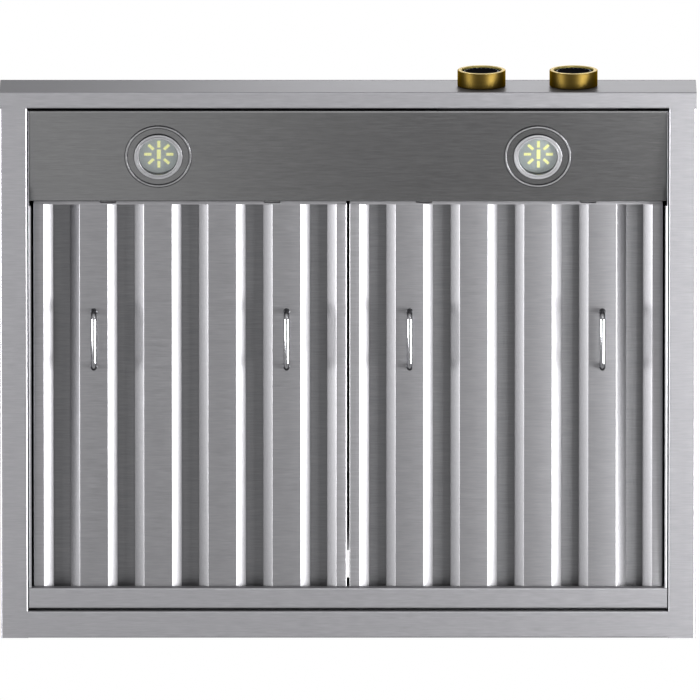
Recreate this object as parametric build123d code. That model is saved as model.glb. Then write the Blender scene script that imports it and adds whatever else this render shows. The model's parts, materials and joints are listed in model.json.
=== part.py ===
from build123d import *
import os
from math import acos, atan2, cos, degrees, floor, hypot, radians, sin

# Range hood for a wall, 30 inches wide and 24 inches deep.
# Modelled with the rim's underside at height 0, the wall plane at Y 0 and the front at minus Y.
# Every piece is saved lower by the height of the wall holes, so the origin is the middle of their pattern.

# Sheet metal
SHEET = 1.0
BEND = 1.5  # radius of a fold, at the middle of the sheet
SEAM = 0.15  # gap between two sheets that are welded or screwed together
CORNER = BEND + SHEET  # room that a fold takes at a corner

# Rim
WIDTH = 762.0
DEPTH = 610.0
LIP_HEIGHT = 72.0
SIDE_FLANGE = 30.0
REAR_FLANGE = 30.0
FRONT_FLANGE = 18.0
HEM = 6.0
TOP_FOLD = 18.0
OPENING = WIDTH / 2 - SIDE_FLANGE  # half the width between the side flanges

# Canopy and wall fixing
CANOPY_RISE = 190.0
CANOPY_TOP = LIP_HEIGHT + CANOPY_RISE
CANOPY_RIM = 26.0
BACK_FOLD = 12.0
WALL_HOLE_R = 3.5
WALL_HOLE_LOW = 90.0
WALL_HOLE_SPACING_X = 400.0
WALL_HOLE_SPACING_Z = 80.0
WALL_HOLE_HEIGHT = WALL_HOLE_LOW + WALL_HOLE_SPACING_Z / 2

# Chimney covers
CHIMNEY_WIDTH = 300.0
CHIMNEY_DEPTH = 280.0
CHIMNEY_RETURN = 15.0
CHIMNEY_FOOT = 12.0
FOOT_INSET = 0.6  # share of the sheet by which the foot stays inside the cover's outer face
LOWER_COVER = 420.0
UPPER_COVER = 420.0
UPPER_SHOWN = 60.0  # how far the upper cover stands out of the lower one at rest
SLIDE_GAP = 0.6
VENT_COUNT = 8
VENT_LENGTH = 60.0
VENT_WIDTH = 4.0
VENT_PITCH = 9.0
VENT_DROP = 70.0
LOWER_TOP = CANOPY_TOP + LOWER_COVER
UPPER_TOP = LOWER_TOP + UPPER_SHOWN
BRACKET_HEIGHT = 30.0
BRACKET_DROP = 10.0
BRACKET_ARM = 60.0
BRACKET_HOLE_SPACING = 200.0

# Light panel, sloped into the hood behind the front flange
PANEL_GAP = 3.0
PANEL_SIDE_GAP = 2.3
PANEL_LOW = 3.0
PANEL_RUN = 105.6
PANEL_RISE = 24.0
PANEL_FRONT_FOLD = 7.0
PANEL_REAR_FOLD = 10.0
PANEL_SIDE_FOLD = 8.0
PANEL_START = FRONT_FLANGE + PANEL_GAP
PANEL_END = PANEL_START + PANEL_RUN
PANEL_SLOPE = degrees(atan2(PANEL_RISE, PANEL_RUN))

# Lamps
LAMP_INSET = 173.3  # lamps' centres from the hood's ends
LAMP_X = WIDTH / 2 - LAMP_INSET
LAMP_DEPTH = 74.3  # behind the front edge
LENS_R = 21.4
LENS_GAP = 0.1
LENS_SEAT = 1.5
LENS_THICKNESS = 2.2
BEZEL_R = 28.0
BEZEL_DROP = 2.6
BEZEL_EDGE = 1.0
BARREL_R = 24.8
BARREL_WALL = 1.4
BARREL_HEIGHT = 9.0
EMBOSS_R = 36.5
EMBOSS_WIDTH = 1.4
EMBOSS_DROP = 0.8
BOARD_THICKNESS = 1.6
CHIP_COUNT = 8
CHIP_RING_R = 13.2
CHIP_LENGTH = 7.6
CHIP_WIDTH = 3.6
CHIP_HEIGHT = 0.8
CENTRE_CHIP_LENGTH = 11.0
HOUSING_WALL = 1.2
HOUSING_HEIGHT = 26.0
HOUSING_FLANGE = 5.0
DRIVER_LENGTH = 110.0
DRIVER_WIDTH = 32.0
DRIVER_HEIGHT = 22.0
DRIVER_TAB = 12.0
DRIVER_CORNER = 3.0

# Liner beside and behind the filters
RAIL_GAP = 0.6
RAIL_STRIP = 2.8
RAIL_LOW = 1.5
RAIL_HEIGHT = 60.0
RAIL_TURN = 8.0
CHANNEL_GAP = 3.0
CHANNEL_WIDTH = 23.0
CHANNEL_WALL = 11.0
CHANNEL_LOW = 1.0
CHANNEL_END_GAP = 1.0
CHANNEL_REAR = DEPTH - REAR_FLANGE - CHANNEL_GAP
CHANNEL_START = CHANNEL_REAR - CHANNEL_WIDTH

# Baffle filters
FILTER_HEIGHT = 22.0
FILTER_FRONT_GAP = 3.5
FILTER_SIDE_GAP = 2.3
FILTER_CENTRE_GAP = 2.6
FILTER_STEP = 4.0  # how far the filter's face lies above the light panel's rear edge
FILTER_SEAT_GAP = 0.3
FILTER_REACH = 12.0  # stretch of filter over the grease channel
FRAME_SHEET = 0.8
FRAME_FOLD = 10.0
BAFFLE_SHEET = 0.6
BAFFLE_FLAT = 30.8
BAFFLE_FLANK = 10.1
BAFFLE_LIP = 3.0
BAFFLE_SLOT = 19.4
BAFFLE_OVERLAP = 5.5
REAR_BAFFLE_LEG = 8.0
LEAST_RIM = 8.0
RAIL_FACE = OPENING - RAIL_GAP - SHEET / 2  # middle of the side rail's sheet
FILTER_OUT = RAIL_FACE - RAIL_STRIP - FILTER_SIDE_GAP
FILTER_WIDTH = FILTER_OUT - FILTER_CENTRE_GAP / 2
FILTER_X = (FILTER_OUT + FILTER_CENTRE_GAP / 2) / 2
PITCH = BAFFLE_FLAT + 2 * BAFFLE_FLANK + BAFFLE_SLOT
BAFFLE_COUNT = floor((FILTER_WIDTH - 2 * LEAST_RIM - BAFFLE_SLOT - 2 * BAFFLE_FLANK) / PITCH)
FIRST_BAFFLE = -(BAFFLE_COUNT - 1) * PITCH / 2
FILTER_RIM = (FILTER_WIDTH - BAFFLE_COUNT * PITCH - BAFFLE_SLOT - 2 * BAFFLE_FLANK) / 2

# The filter tilts down about the front edge of the grease channel
PIVOT_Y = CHANNEL_START - DEPTH
PIVOT_Z = CHANNEL_WALL + FILTER_SEAT_GAP
FILTER_RUN = CHANNEL_START - PANEL_END - FILTER_FRONT_GAP
FILTER_RISE = PANEL_LOW + PANEL_RISE + FILTER_STEP - PIVOT_Z
FILTER_SLOPE = degrees(atan2(FILTER_RISE, FILTER_RUN))
FILTER_FRONT = hypot(FILTER_RISE, FILTER_RUN)

# Filter handles and catches
HANDLE_R = 3.0
HANDLE_LENGTH = 66.8
HANDLE_DROP = 20.0
HANDLE_BEND = 7.0
HANDLE_BEND_STEPS = 2  # straight stretches round each bend
HANDLE_DEPTH = 280.0  # middle of a handle behind the front edge
CATCH_WIDTH = 16.0
CATCH_SHEET = 0.5
CATCH_BULGE = 1.6
CATCH_LENGTH = 8.0
CATCH_SPREAD = 90.0

# Knobs
KNOB_INSETS = (235.0, 134.3)  # knobs' centres from the right end
KNOB_X = [WIDTH / 2 - inset for inset in KNOB_INSETS]
KNOB_Z = 40.0
KNOB_R = 26.35
KNOB_LENGTH = 17.6
KNOB_GAP = 0.4
KNOB_WALL = 4.0
KNOB_FLOOR = 6.0
FACE_RECESS = 1.8
FACE_GAP = 0.3
FACE_THICKNESS = 2.5
HUB_R = 7.0
HUB_LENGTH = 15.0
HUB_FIT = 0.08
HUB_HOLE_GAP = 0.6
STEM_R = 3.5
STEM_GAP = 1.0
ENCODER_SIDE = 28.0
ENCODER_LENGTH = 18.0
CONTROL_DEPTH = 28.0  # face of the control board behind the front edge
CONTROL_MARGIN = 48.0
CONTROL_LOW = 12.0
CONTROL_HIGH = 66.0
CONTROL_BACK = 43.0
CONTROL_WALL = 1.5

# Blower
BLOWER_FORWARD = 10.0  # shaft in front of the middle of the covers
BLOWER_Y = -CHIMNEY_DEPTH / 2 - BLOWER_FORWARD
BLOWER_RAISE = 50.0  # shaft above the canopy's top
BLOWER_WIDTH = 150.0
WHEEL_R = 85.0
WHEEL_INNER_R = 70.0
WHEEL_HALF = 60.0
WHEEL_RING = 2.0
WHEEL_DISC = 1.5
WHEEL_HUB_R = 12.0
WHEEL_HUB_HALF = 10.0
BLADE_COUNT = 28
BLADE_SHEET = 0.8
BLADE_STEP = 1.0  # blade's outer edge below the end rings' edge, and above the disc's
BLADE_GAP = 0.15  # round a blade in its slot, and at its ends
BLADE_SWEEP = 11.0  # angle that a blade gains from its inner to its outer edge
BLADE_HOLLOW = 0.3  # share of the sweep at a blade's middle
SCROLL_GAP = 7.0
SCROLL_GROWTH = 23.0
SCROLL_ARCS = 3
TONGUE_ANGLE = 80.0
OUTLET_HEIGHT = 150.0
OUTLET_FLANGE = 10.0
INLET_R = 66.0
INLET_LIP = 12.0
SHAFT_R = 5.0
SHAFT_FIT = 0.05
MOTOR_R = 46.0
MOTOR_LENGTH = 68.0
MOTOR_END = -78.0
MOTOR_ARM = 12.0
MOTOR_ARM_REACH = 84.0
MOTOR_ARM_SHEET = 4.0
FOOT_WIDTH = 24.0
FOOT_HEIGHT = 34.0
FOOT_END_GAP = 2.0  # between a foot's end and the lower cover's own foot
FOOT_REACH = CHIMNEY_WIDTH / 2 - CHIMNEY_FOOT - FOOT_END_GAP
FOOT_SPREAD = 84.0
BLOWER_Z = CANOPY_TOP + BLOWER_RAISE
SCROLL_START_R = WHEEL_R + SCROLL_GAP
SCROLL_END_R = SCROLL_START_R + SCROLL_GROWTH
TONGUE = SCROLL_START_R * cos(radians(TONGUE_ANGLE))

# Outlet adapter, duct collar and its two flaps
COLLAR_R = 75.0
COLLAR_WALL = 1.5
COLLAR_BEHIND = 50.0  # collar's middle behind the shaft
COLLAR_Y = BLOWER_Y + COLLAR_BEHIND
COLLAR_HEIGHT = 50.0
ADAPTER_HEIGHT = 45.0
ROD_R = 2.0
ROD_FIT = 0.05
FLAP_Z = 12.0  # rod above the collar's lower end
FLAP_SHEET = 1.2
FLAP_GAP = 0.8
FLAP_LEDGE = 3.0
FLAP_LEDGE_DROP = 1.0
FLAP_EDGE = 4.6
KNUCKLE_R = 3.8
KNUCKLE_LENGTH = 20.0
OUTER_KNUCKLE_X = 50.0
INNER_KNUCKLE_X = 25.0
COLLAR_Z = BLOWER_Z + OUTLET_HEIGHT + ADAPTER_HEIGHT

# Supply parts on the back panel
SUPPLY_HEIGHT = 140.0
JUNCTION_X = 110.0
JUNCTION_SIZE = (90.0, 40.0, 60.0)
JUNCTION_CORNER = 4.0
GLAND_R = 9.0
GLAND_BORE_R = 4.0
GLAND_LENGTH = 14.0
CAPACITOR_X = -110.0
CAPACITOR_SIZE = (48.0, 26.0, 34.0)
CAPACITOR_CORNER = 3.0

# Screws
SCREW_R = 2.0
SCREW_HOLE_GAP = 0.1
SCREW_HEAD_R = 3.8
SCREW_HEAD = 2.0
SCREW_LENGTH = 6.0
CHIMNEY_SCREW_DEPTH = 140.0
FOOT_SCREW_INSET = 5.0


def block(x0, x1, y0, y1, z0, z1):
    """Box between two corners"""
    return Pos((x0 + x1) / 2, (y0 + y1) / 2, (z0 + z1) / 2) * Box(x1 - x0, y1 - y0, z1 - z0)


def folded(points, thickness=SHEET, bend=BEND):
    """Section of a folded sheet whose middle line runs through the points; no bend leaves its folds sharp"""
    middle = FilletPolyline(*points, radius=bend) if bend else Polyline(*points)
    edges = [edge for side in (Side.LEFT, Side.RIGHT)
             for edge in middle.offset_2d(thickness / 2, kind=Kind.INTERSECTION, side=side, closed=False).edges()]
    for end in (0, 1):
        along = middle % end
        across = Vector(-along.Y, along.X) * (thickness / 2)
        edges.append(Line(middle @ end + across, middle @ end - across))
    return make_face(edges)


def along_x(section, x0, x1):
    """Section drawn in Y and Z, pulled along X"""
    return extrude(Plane.YZ.offset(x0) * section, x1 - x0)


def along_y(section, y0, y1):
    """Section drawn in X and Z, pulled along Y"""
    return extrude(Plane.XZ.offset(-y1) * section, y1 - y0)


def along_z(section, z0, z1):
    """Section drawn in X and Y, pulled along Z"""
    return extrude(Plane.XY.offset(z0) * section, z1 - z0)


def turned(points):
    """Solid turned about Z from a closed outline of radius and height"""
    return revolve(Plane.XZ * make_face(Polyline(*points, close=True)), Axis.Z)


def tube(outer, inner, z0, z1):
    """Round tube about Z"""
    return along_z(Circle(outer) - Circle(inner), z0, z1)


def rod_x(radius, x0, x1):
    """Round bar along X"""
    return along_x(Circle(radius), x0, x1)


def at_front(depth):
    """Y of a place this far behind the front edge"""
    return depth - DEPTH


def mirrored(shape):
    """The same piece on the other side"""
    return mirror(shape, about=Plane.YZ)


def save(name, shape):
    """Writes one piece, with the middle of the wall holes at the origin"""
    export_step(Pos(0, 0, -WALL_HOLE_HEIGHT) * shape, f"parts/{name}.step")


def chimney_screw_places():
    """Places where the lower chimney cover is screwed to the canopy"""
    x = CHIMNEY_WIDTH / 2 - CHIMNEY_FOOT / 2
    return [(side * x, -CHIMNEY_SCREW_DEPTH) for side in (-1, 1)]


def foot_places():
    """Places of the blower's feet on the canopy's top rim"""
    return [(side, BLOWER_Y + spread) for side in (-1, 1) for spread in (-FOOT_SPREAD, FOOT_SPREAD)]


def foot_screw_places():
    """Places where the blower's feet are screwed down"""
    return [(side * (FOOT_REACH - FOOT_SCREW_INSET), y) for side, y in foot_places()]


def screw_holes(places, z):
    """Cutter for the screw holes through sheets near a height"""
    hole = along_z(Circle(SCREW_R + SCREW_HOLE_GAP), z - SCREW_LENGTH, z + SCREW_LENGTH)
    return [Pos(x, y) * hole for x, y in places]


def screws(places, z):
    """Hexagon head screws whose heads rest at a height"""
    head = RegularPolygon(SCREW_HEAD_R, 6)
    screw = along_z(head, z, z + SCREW_HEAD) + along_z(Circle(SCREW_R), z - SCREW_LENGTH, z)
    return Compound(children=[Pos(x, y) * screw for x, y in places])


def front_fascia():
    """Lip face with its bottom flange, the full width of the hood"""
    face_y = -DEPTH + SHEET / 2
    top_z = LIP_HEIGHT - SHEET / 2
    hem_y = at_front(FRONT_FLANGE) - SHEET / 2
    section = folded([(face_y + TOP_FOLD, top_z), (face_y, top_z), (face_y, SHEET / 2),
                      (hem_y, SHEET / 2), (hem_y, HEM)])
    sheet = along_x(section, -WIDTH / 2, WIDTH / 2)
    inner = WIDTH / 2 - CORNER - SEAM
    behind = -DEPTH + SHEET
    for x0, x1 in ((-WIDTH, -inner), (inner, WIDTH)):
        sheet -= block(x0, x1, behind, 0, SHEET, LIP_HEIGHT + SHEET)
    for x in KNOB_X:
        sheet -= knob_place(x) * Cylinder(HUB_R + HUB_HOLE_GAP, 4 * SHEET)
    return sheet


def side_lip():
    """Right lip with its bottom flange; its front end tucks behind the fascia"""
    face_x = WIDTH / 2 - SHEET / 2
    top_z = LIP_HEIGHT - SHEET / 2
    hem_x = OPENING + SHEET / 2
    section = folded([(face_x - TOP_FOLD, top_z), (face_x, top_z), (face_x, SHEET / 2),
                      (hem_x, SHEET / 2), (hem_x, HEM)])
    sheet = along_y(section, -DEPTH + SHEET + SEAM, 0)
    front_fold = at_front(TOP_FOLD + SHEET / 2 + SEAM)
    sheet -= block(0, WIDTH / 2 - CORNER, -DEPTH, front_fold, LIP_HEIGHT - CORNER, LIP_HEIGHT + SHEET)
    sheet -= block(0, WIDTH, -DEPTH, at_front(FRONT_FLANGE + SEAM), -SHEET, CORNER)
    sheet -= block(0, WIDTH / 2 - CORNER, -DEPTH, at_front(FRONT_FLANGE + SEAM), -SHEET, HEM + SHEET)
    sheet -= block(0, WIDTH / 2 - SHEET, -SHEET - SEAM, SHEET, CORNER, LIP_HEIGHT + SHEET)
    return sheet


def back_panel():
    """Flat panel against the wall, its bottom folded forward between the side flanges"""
    low_x = WIDTH / 2 - SHEET - SEAM
    high_x = CHIMNEY_WIDTH / 2 - SHEET
    low_z = CORNER + SEAM
    outline = make_face(Polyline((-low_x, low_z), (-low_x, LIP_HEIGHT), (-high_x, CANOPY_TOP),
                                 (high_x, CANOPY_TOP), (low_x, LIP_HEIGHT), (low_x, low_z), close=True))
    panel = along_y(outline, -SHEET, 0)
    hem_y = -REAR_FLANGE + SHEET / 2
    fold = folded([(-SHEET / 2, 4 * CORNER), (-SHEET / 2, SHEET / 2), (hem_y, SHEET / 2), (hem_y, HEM)])
    flange_x = OPENING - SEAM
    panel -= block(-flange_x, flange_x, -SHEET, 0, 0, 4 * CORNER)
    panel += along_x(fold, -flange_x, flange_x)
    top_x = CHIMNEY_WIDTH / 2 - CANOPY_RIM - SEAM
    panel += block(-top_x, top_x, -BACK_FOLD, 0, CANOPY_TOP - SHEET, CANOPY_TOP)
    for x in (-WALL_HOLE_SPACING_X / 2, WALL_HOLE_SPACING_X / 2):
        for z in (WALL_HOLE_LOW, WALL_HOLE_LOW + WALL_HOLE_SPACING_Z):
            panel -= Pos(x, 0, z) * Rot(X=90) * Cylinder(WALL_HOLE_R, 4 * SHEET)
    return panel


def frustum(side_inset, front_inset, rear):
    """Solid between the rim and the chimney, its back upright"""
    width = WIDTH - 2 * side_inset
    depth = DEPTH - front_inset + rear
    side_run = (WIDTH - CHIMNEY_WIDTH) / 2
    front_run = DEPTH - CHIMNEY_DEPTH
    wedge = Wedge(width, CANOPY_RISE, depth, side_run, 0, width - side_run, depth - front_run,
                  align=(Align.CENTER, Align.MIN, Align.MIN))
    return Pos(0, rear, LIP_HEIGHT) * Rot(X=90) * wedge


def canopy_shell():
    """Sloped front and sides, with a flat rim at the bottom and at the top"""
    side_run = (WIDTH - CHIMNEY_WIDTH) / 2
    front_run = DEPTH - CHIMNEY_DEPTH
    rear = -SHEET - SEAM
    solid = frustum(0, 0, rear)
    shell = solid - frustum(SHEET * hypot(side_run, CANOPY_RISE) / CANOPY_RISE,
                            SHEET * hypot(front_run, CANOPY_RISE) / CANOPY_RISE, SHEET)
    for width, depth, z, rim in ((WIDTH, DEPTH, LIP_HEIGHT, TOP_FOLD),
                                 (CHIMNEY_WIDTH, CHIMNEY_DEPTH, CANOPY_TOP - SHEET, CANOPY_RIM)):
        slab = solid & block(-WIDTH, WIDTH, -DEPTH, 0, z, z + SHEET)
        shell += slab - block(rim - width / 2, width / 2 - rim, rim - depth, SHEET, z - SHEET, z + 2 * SHEET)
    return shell - screw_holes(chimney_screw_places() + foot_screw_places(), CANOPY_TOP)


def cover_section(inset):
    """Section of a chimney cover: three sides and two narrow returns at the wall"""
    x = CHIMNEY_WIDTH / 2 - inset - SHEET / 2
    front = -CHIMNEY_DEPTH + inset + SHEET / 2
    rear = -inset - SHEET / 2
    tip = CHIMNEY_WIDTH / 2 - inset - CHIMNEY_RETURN
    return folded([(-tip, rear), (-x, rear), (-x, front), (x, front), (x, rear), (tip, rear)])


def chimney_lower():
    """Fixed cover, screwed to the canopy by a narrow foot"""
    cover = along_z(cover_section(0), CANOPY_TOP, LOWER_TOP)
    x = CHIMNEY_WIDTH / 2 - FOOT_INSET * SHEET
    y = CHIMNEY_DEPTH - FOOT_INSET * SHEET
    inner = CHIMNEY_WIDTH / 2 - CHIMNEY_FOOT
    foot = block(-x, x, -y, -CORNER, CANOPY_TOP, CANOPY_TOP + SHEET)
    foot -= block(-inner, inner, CHIMNEY_FOOT - CHIMNEY_DEPTH, 0, CANOPY_TOP - SHEET, CANOPY_TOP + 2 * SHEET)
    return cover + foot - screw_holes(chimney_screw_places(), CANOPY_TOP)


def chimney_upper():
    """Sliding cover with a row of vent slots on each side"""
    inset = SHEET + SLIDE_GAP
    cover = along_z(cover_section(inset), UPPER_TOP - UPPER_COVER, UPPER_TOP)
    slot = Box(CHIMNEY_WIDTH, VENT_LENGTH, VENT_WIDTH)
    for row in range(VENT_COUNT):
        cover -= Pos(0, -CHIMNEY_DEPTH / 2, UPPER_TOP - VENT_DROP - row * VENT_PITCH) * slot
    return cover


def ceiling_bracket():
    """Strap that carries the upper cover, screwed to the wall at the ceiling"""
    inset = 2 * SHEET + SLIDE_GAP + SEAM
    x = CHIMNEY_WIDTH / 2 - inset - SHEET / 2
    rear = -inset - SHEET / 2
    section = folded([(-x, rear - BRACKET_ARM), (-x, rear), (x, rear), (x, rear - BRACKET_ARM)])
    top = UPPER_TOP - BRACKET_DROP
    strap = along_z(section, top - BRACKET_HEIGHT, top)
    for hole_x in (-BRACKET_HOLE_SPACING / 2, BRACKET_HOLE_SPACING / 2):
        strap -= Pos(hole_x, rear, top - BRACKET_HEIGHT / 2) * Rot(X=90) * Cylinder(WALL_HOLE_R, 4 * SHEET)
    return strap


def panel_z(depth):
    """Height of the light panel's underside this far behind the front edge"""
    return PANEL_LOW + PANEL_RISE * (depth - PANEL_START) / PANEL_RUN


def panel_place(x):
    """Place on the light panel's underside in line with the lamps, with Z into the hood"""
    return Pos(x, at_front(LAMP_DEPTH), panel_z(LAMP_DEPTH)) * Rot(X=PANEL_SLOPE)


def lamp_places():
    """Places of the two lamps on the light panel"""
    return [panel_place(x) for x in (-LAMP_X, LAMP_X)]


def light_panel():
    """Sloped panel with two lamp holes, folded up at all four edges"""
    half = SHEET / 2
    front_y = at_front(PANEL_START) + half
    rear_y = at_front(PANEL_END) - half
    high = PANEL_LOW + PANEL_RISE
    lift = half / cos(radians(PANEL_SLOPE))
    section = folded([(front_y, PANEL_LOW + PANEL_FRONT_FOLD), (front_y, panel_z(PANEL_START + half) + lift),
                      (rear_y, panel_z(PANEL_END - half) + lift), (rear_y, high + PANEL_REAR_FOLD)])
    side_x = OPENING - PANEL_SIDE_GAP
    panel = along_x(section, -side_x, side_x)
    side = make_face(Polyline((front_y + BEND, PANEL_LOW + SHEET), (rear_y - BEND, high),
                              (rear_y - BEND, high + PANEL_SIDE_FOLD),
                              (front_y + BEND, PANEL_LOW + PANEL_SIDE_FOLD), close=True))
    for x in (-side_x, side_x - SHEET):
        panel += along_x(side, x, x + SHEET)
    for place in lamp_places():
        panel += place * tube(EMBOSS_R, EMBOSS_R - EMBOSS_WIDTH, -EMBOSS_DROP, half)
        panel -= place * Cylinder(BARREL_R + LENS_GAP, 6 * SHEET)
    return panel


def lamp_bezel():
    """Chrome ring with a barrel through the panel and a seat for the lens"""
    rim_r = LENS_R + LENS_GAP
    barrel_inner = BARREL_R - BARREL_WALL
    return turned([(rim_r, -BEZEL_DROP), (BEZEL_R - BEZEL_EDGE, -BEZEL_DROP + BEZEL_EDGE), (BEZEL_R, 0),
                   (BARREL_R, 0), (BARREL_R, BARREL_HEIGHT), (barrel_inner, BARREL_HEIGHT),
                   (barrel_inner, LENS_SEAT), (rim_r - LENS_SEAT, LENS_SEAT), (rim_r - LENS_SEAT, LENS_GAP),
                   (rim_r, LENS_GAP)])


def lamp_lens():
    """Clear disc"""
    return along_z(Circle(LENS_R), -LENS_THICKNESS, 0)


def lamp_board():
    """Round board with one chip in the middle and a ring of chips round it"""
    board = along_z(Circle(BARREL_R), BARREL_HEIGHT, BARREL_HEIGHT + BOARD_THICKNESS)
    board += along_z(Rectangle(CHIP_WIDTH, CENTRE_CHIP_LENGTH), BARREL_HEIGHT - CHIP_HEIGHT, BARREL_HEIGHT)
    chip = along_z(Rectangle(CHIP_WIDTH, CHIP_LENGTH), BARREL_HEIGHT - CHIP_HEIGHT, BARREL_HEIGHT)
    for number in range(CHIP_COUNT):
        board += Rot(Z=number * 360 / CHIP_COUNT) * Pos(0, CHIP_RING_R) * chip
    return board


def lamp_housing():
    """Cup over the lamp, with a flange on the panel's upper side"""
    inner = BARREL_R + LENS_GAP
    outer = inner + HOUSING_WALL
    return turned([(inner, SHEET), (outer + HOUSING_FLANGE, SHEET), (outer + HOUSING_FLANGE, 2 * SHEET),
                   (outer, 2 * SHEET), (outer, HOUSING_HEIGHT), (0, HOUSING_HEIGHT),
                   (0, HOUSING_HEIGHT - HOUSING_WALL), (inner, HOUSING_HEIGHT - HOUSING_WALL)])


def led_driver():
    """Supply for the lamps, on the panel's upper side between them"""
    body = Box(DRIVER_LENGTH, DRIVER_WIDTH, DRIVER_HEIGHT)
    body = Pos(0, 0, SHEET + DRIVER_HEIGHT / 2) * fillet(body.edges().filter_by(Axis.Z), DRIVER_CORNER)
    tab_x = DRIVER_LENGTH / 2 + DRIVER_TAB
    tabs = block(-tab_x, tab_x, -DRIVER_WIDTH / 4, DRIVER_WIDTH / 4, SHEET, 3 * SHEET)
    return body + tabs


def side_rail():
    """Right liner wall beside the filter, hung from the lip by a shelf"""
    low = RAIL_LOW + SHEET / 2
    shelf = RAIL_HEIGHT - SHEET / 2
    lip_x = WIDTH / 2 - SHEET - SEAM - SHEET / 2
    section = folded([(RAIL_FACE - RAIL_STRIP, low), (RAIL_FACE, low), (RAIL_FACE, shelf),
                      (lip_x, shelf), (lip_x, shelf + RAIL_TURN)])
    rail = along_y(section, at_front(PANEL_START), at_front(CHANNEL_START) - SEAM)
    return rail - block(0, RAIL_FACE - SHEET / 2, -DEPTH, at_front(PANEL_END + SEAM), 0, LIP_HEIGHT)


def grease_channel():
    """Trough behind the filters, hung from the back panel by a shelf"""
    half = SHEET / 2
    front_y = at_front(CHANNEL_START) + half
    rear_y = at_front(CHANNEL_REAR) - half
    wall_y = -SHEET - SEAM - half
    low = CHANNEL_LOW + half
    shelf = RAIL_HEIGHT - half
    section = folded([(front_y, CHANNEL_WALL), (front_y, low), (rear_y, low), (rear_y, shelf),
                      (wall_y, shelf), (wall_y, shelf + RAIL_TURN)])
    end_x = OPENING - CHANNEL_END_GAP
    channel = along_x(section, -end_x, end_x)
    for x in (-end_x, end_x - SHEET):
        channel += block(x, x + SHEET, front_y, rear_y, CHANNEL_LOW + half, CHANNEL_WALL)
    return channel


def filter_catches():
    """Leaf springs behind the light panel that hold the front ends of the filters"""
    seat = at_front(PANEL_END) + CATCH_SHEET / 2
    top = PANEL_LOW + PANEL_RISE + PANEL_REAR_FOLD
    crest = seat + CATCH_BULGE
    section = folded([(seat, top), (seat, top - CATCH_LENGTH / 2), (crest, top - CATCH_LENGTH * 0.75),
                      (seat + CATCH_SHEET, top - CATCH_LENGTH)], CATCH_SHEET, bend=None)
    leaf = along_x(section, -CATCH_WIDTH / 2, CATCH_WIDTH / 2)
    places = [side * FILTER_X + spread for side in (-1, 1) for spread in (-CATCH_SPREAD, CATCH_SPREAD)]
    return Compound(children=[Pos(x, 0, 0) * leaf for x in places])


# Filters are drawn with the tilt axis as their X axis, the face at height 0 and the front at minus Y

def filter_place(side):
    """Place of a filter at rest: sloped, with its rear end over the grease channel"""
    return Pos(side * FILTER_X, PIVOT_Y, PIVOT_Z) * Rot(X=-FILTER_SLOPE)


def filter_frame():
    """Channel frame; its sides carry half a baffle each"""
    half = FRAME_SHEET / 2
    out = FILTER_WIDTH / 2
    top = FILTER_HEIGHT - half
    rim = out - FILTER_RIM
    section = folded([(out - FRAME_FOLD, top), (out - half, top), (out - half, half), (rim, half),
                      (rim - BAFFLE_FLANK, half + BAFFLE_FLANK)], FRAME_SHEET, bend=None)
    side = along_y(section, -FILTER_FRONT, FILTER_REACH)
    frame = side + mirrored(side)
    inner = out - FRAME_SHEET
    for web, fold in ((-FILTER_FRONT, -FILTER_FRONT + FRAME_FOLD), (FILTER_REACH - FRAME_SHEET, FILTER_REACH)):
        frame += block(-inner, inner, web, web + FRAME_SHEET, 0, FILTER_HEIGHT)
        flange = fold if web < 0 else web + FRAME_SHEET - FRAME_FOLD
        frame += block(-inner, inner, min(web, flange), max(web + FRAME_SHEET, flange),
                       FILTER_HEIGHT - FRAME_SHEET, FILTER_HEIGHT)
    return frame


def baffle_span(section):
    """Pulls a baffle's section between the frame's two end webs"""
    return along_y(section, -FILTER_FRONT + FRAME_SHEET, FILTER_REACH - FRAME_SHEET)


def handle_y():
    """Middle of a handle along the filter"""
    return (at_front(HANDLE_DEPTH) - PIVOT_Y) / cos(radians(FILTER_SLOPE))


def handle_legs():
    """Places of a handle's two legs along the filter"""
    reach = HANDLE_LENGTH / 2 - HANDLE_R
    return [handle_y() - reach, handle_y() + reach]


def handle_columns():
    """Middles of the two baffles that carry handles"""
    return [FIRST_BAFFLE, -FIRST_BAFFLE]


def front_baffles():
    """Wide channels that face the cooktop"""
    half = BAFFLE_SHEET / 2
    flat = BAFFLE_FLAT / 2
    flank = flat + BAFFLE_FLANK
    tip = half + BAFFLE_FLANK
    section = folded([(-flank, tip + BAFFLE_LIP), (-flank, tip), (-flat, half), (flat, half), (flank, tip),
                      (flank, tip + BAFFLE_LIP)], BAFFLE_SHEET, bend=None)
    baffle = baffle_span(section)
    return Compound(children=[Pos(FIRST_BAFFLE + number * PITCH) * baffle for number in range(BAFFLE_COUNT)])


def rear_baffles():
    """Narrower channels the other way up, over the slots between the front ones"""
    reach = BAFFLE_SLOT / 2 + BAFFLE_OVERLAP
    web = FILTER_HEIGHT - FRAME_SHEET - BAFFLE_SHEET / 2
    section = folded([(-reach, web - REAR_BAFFLE_LEG), (-reach, web), (reach, web),
                      (reach, web - REAR_BAFFLE_LEG)], BAFFLE_SHEET, bend=None)
    baffle = baffle_span(section)
    first = FIRST_BAFFLE - PITCH / 2
    return Compound(children=[Pos(first + number * PITCH) * baffle for number in range(BAFFLE_COUNT + 1)])


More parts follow.
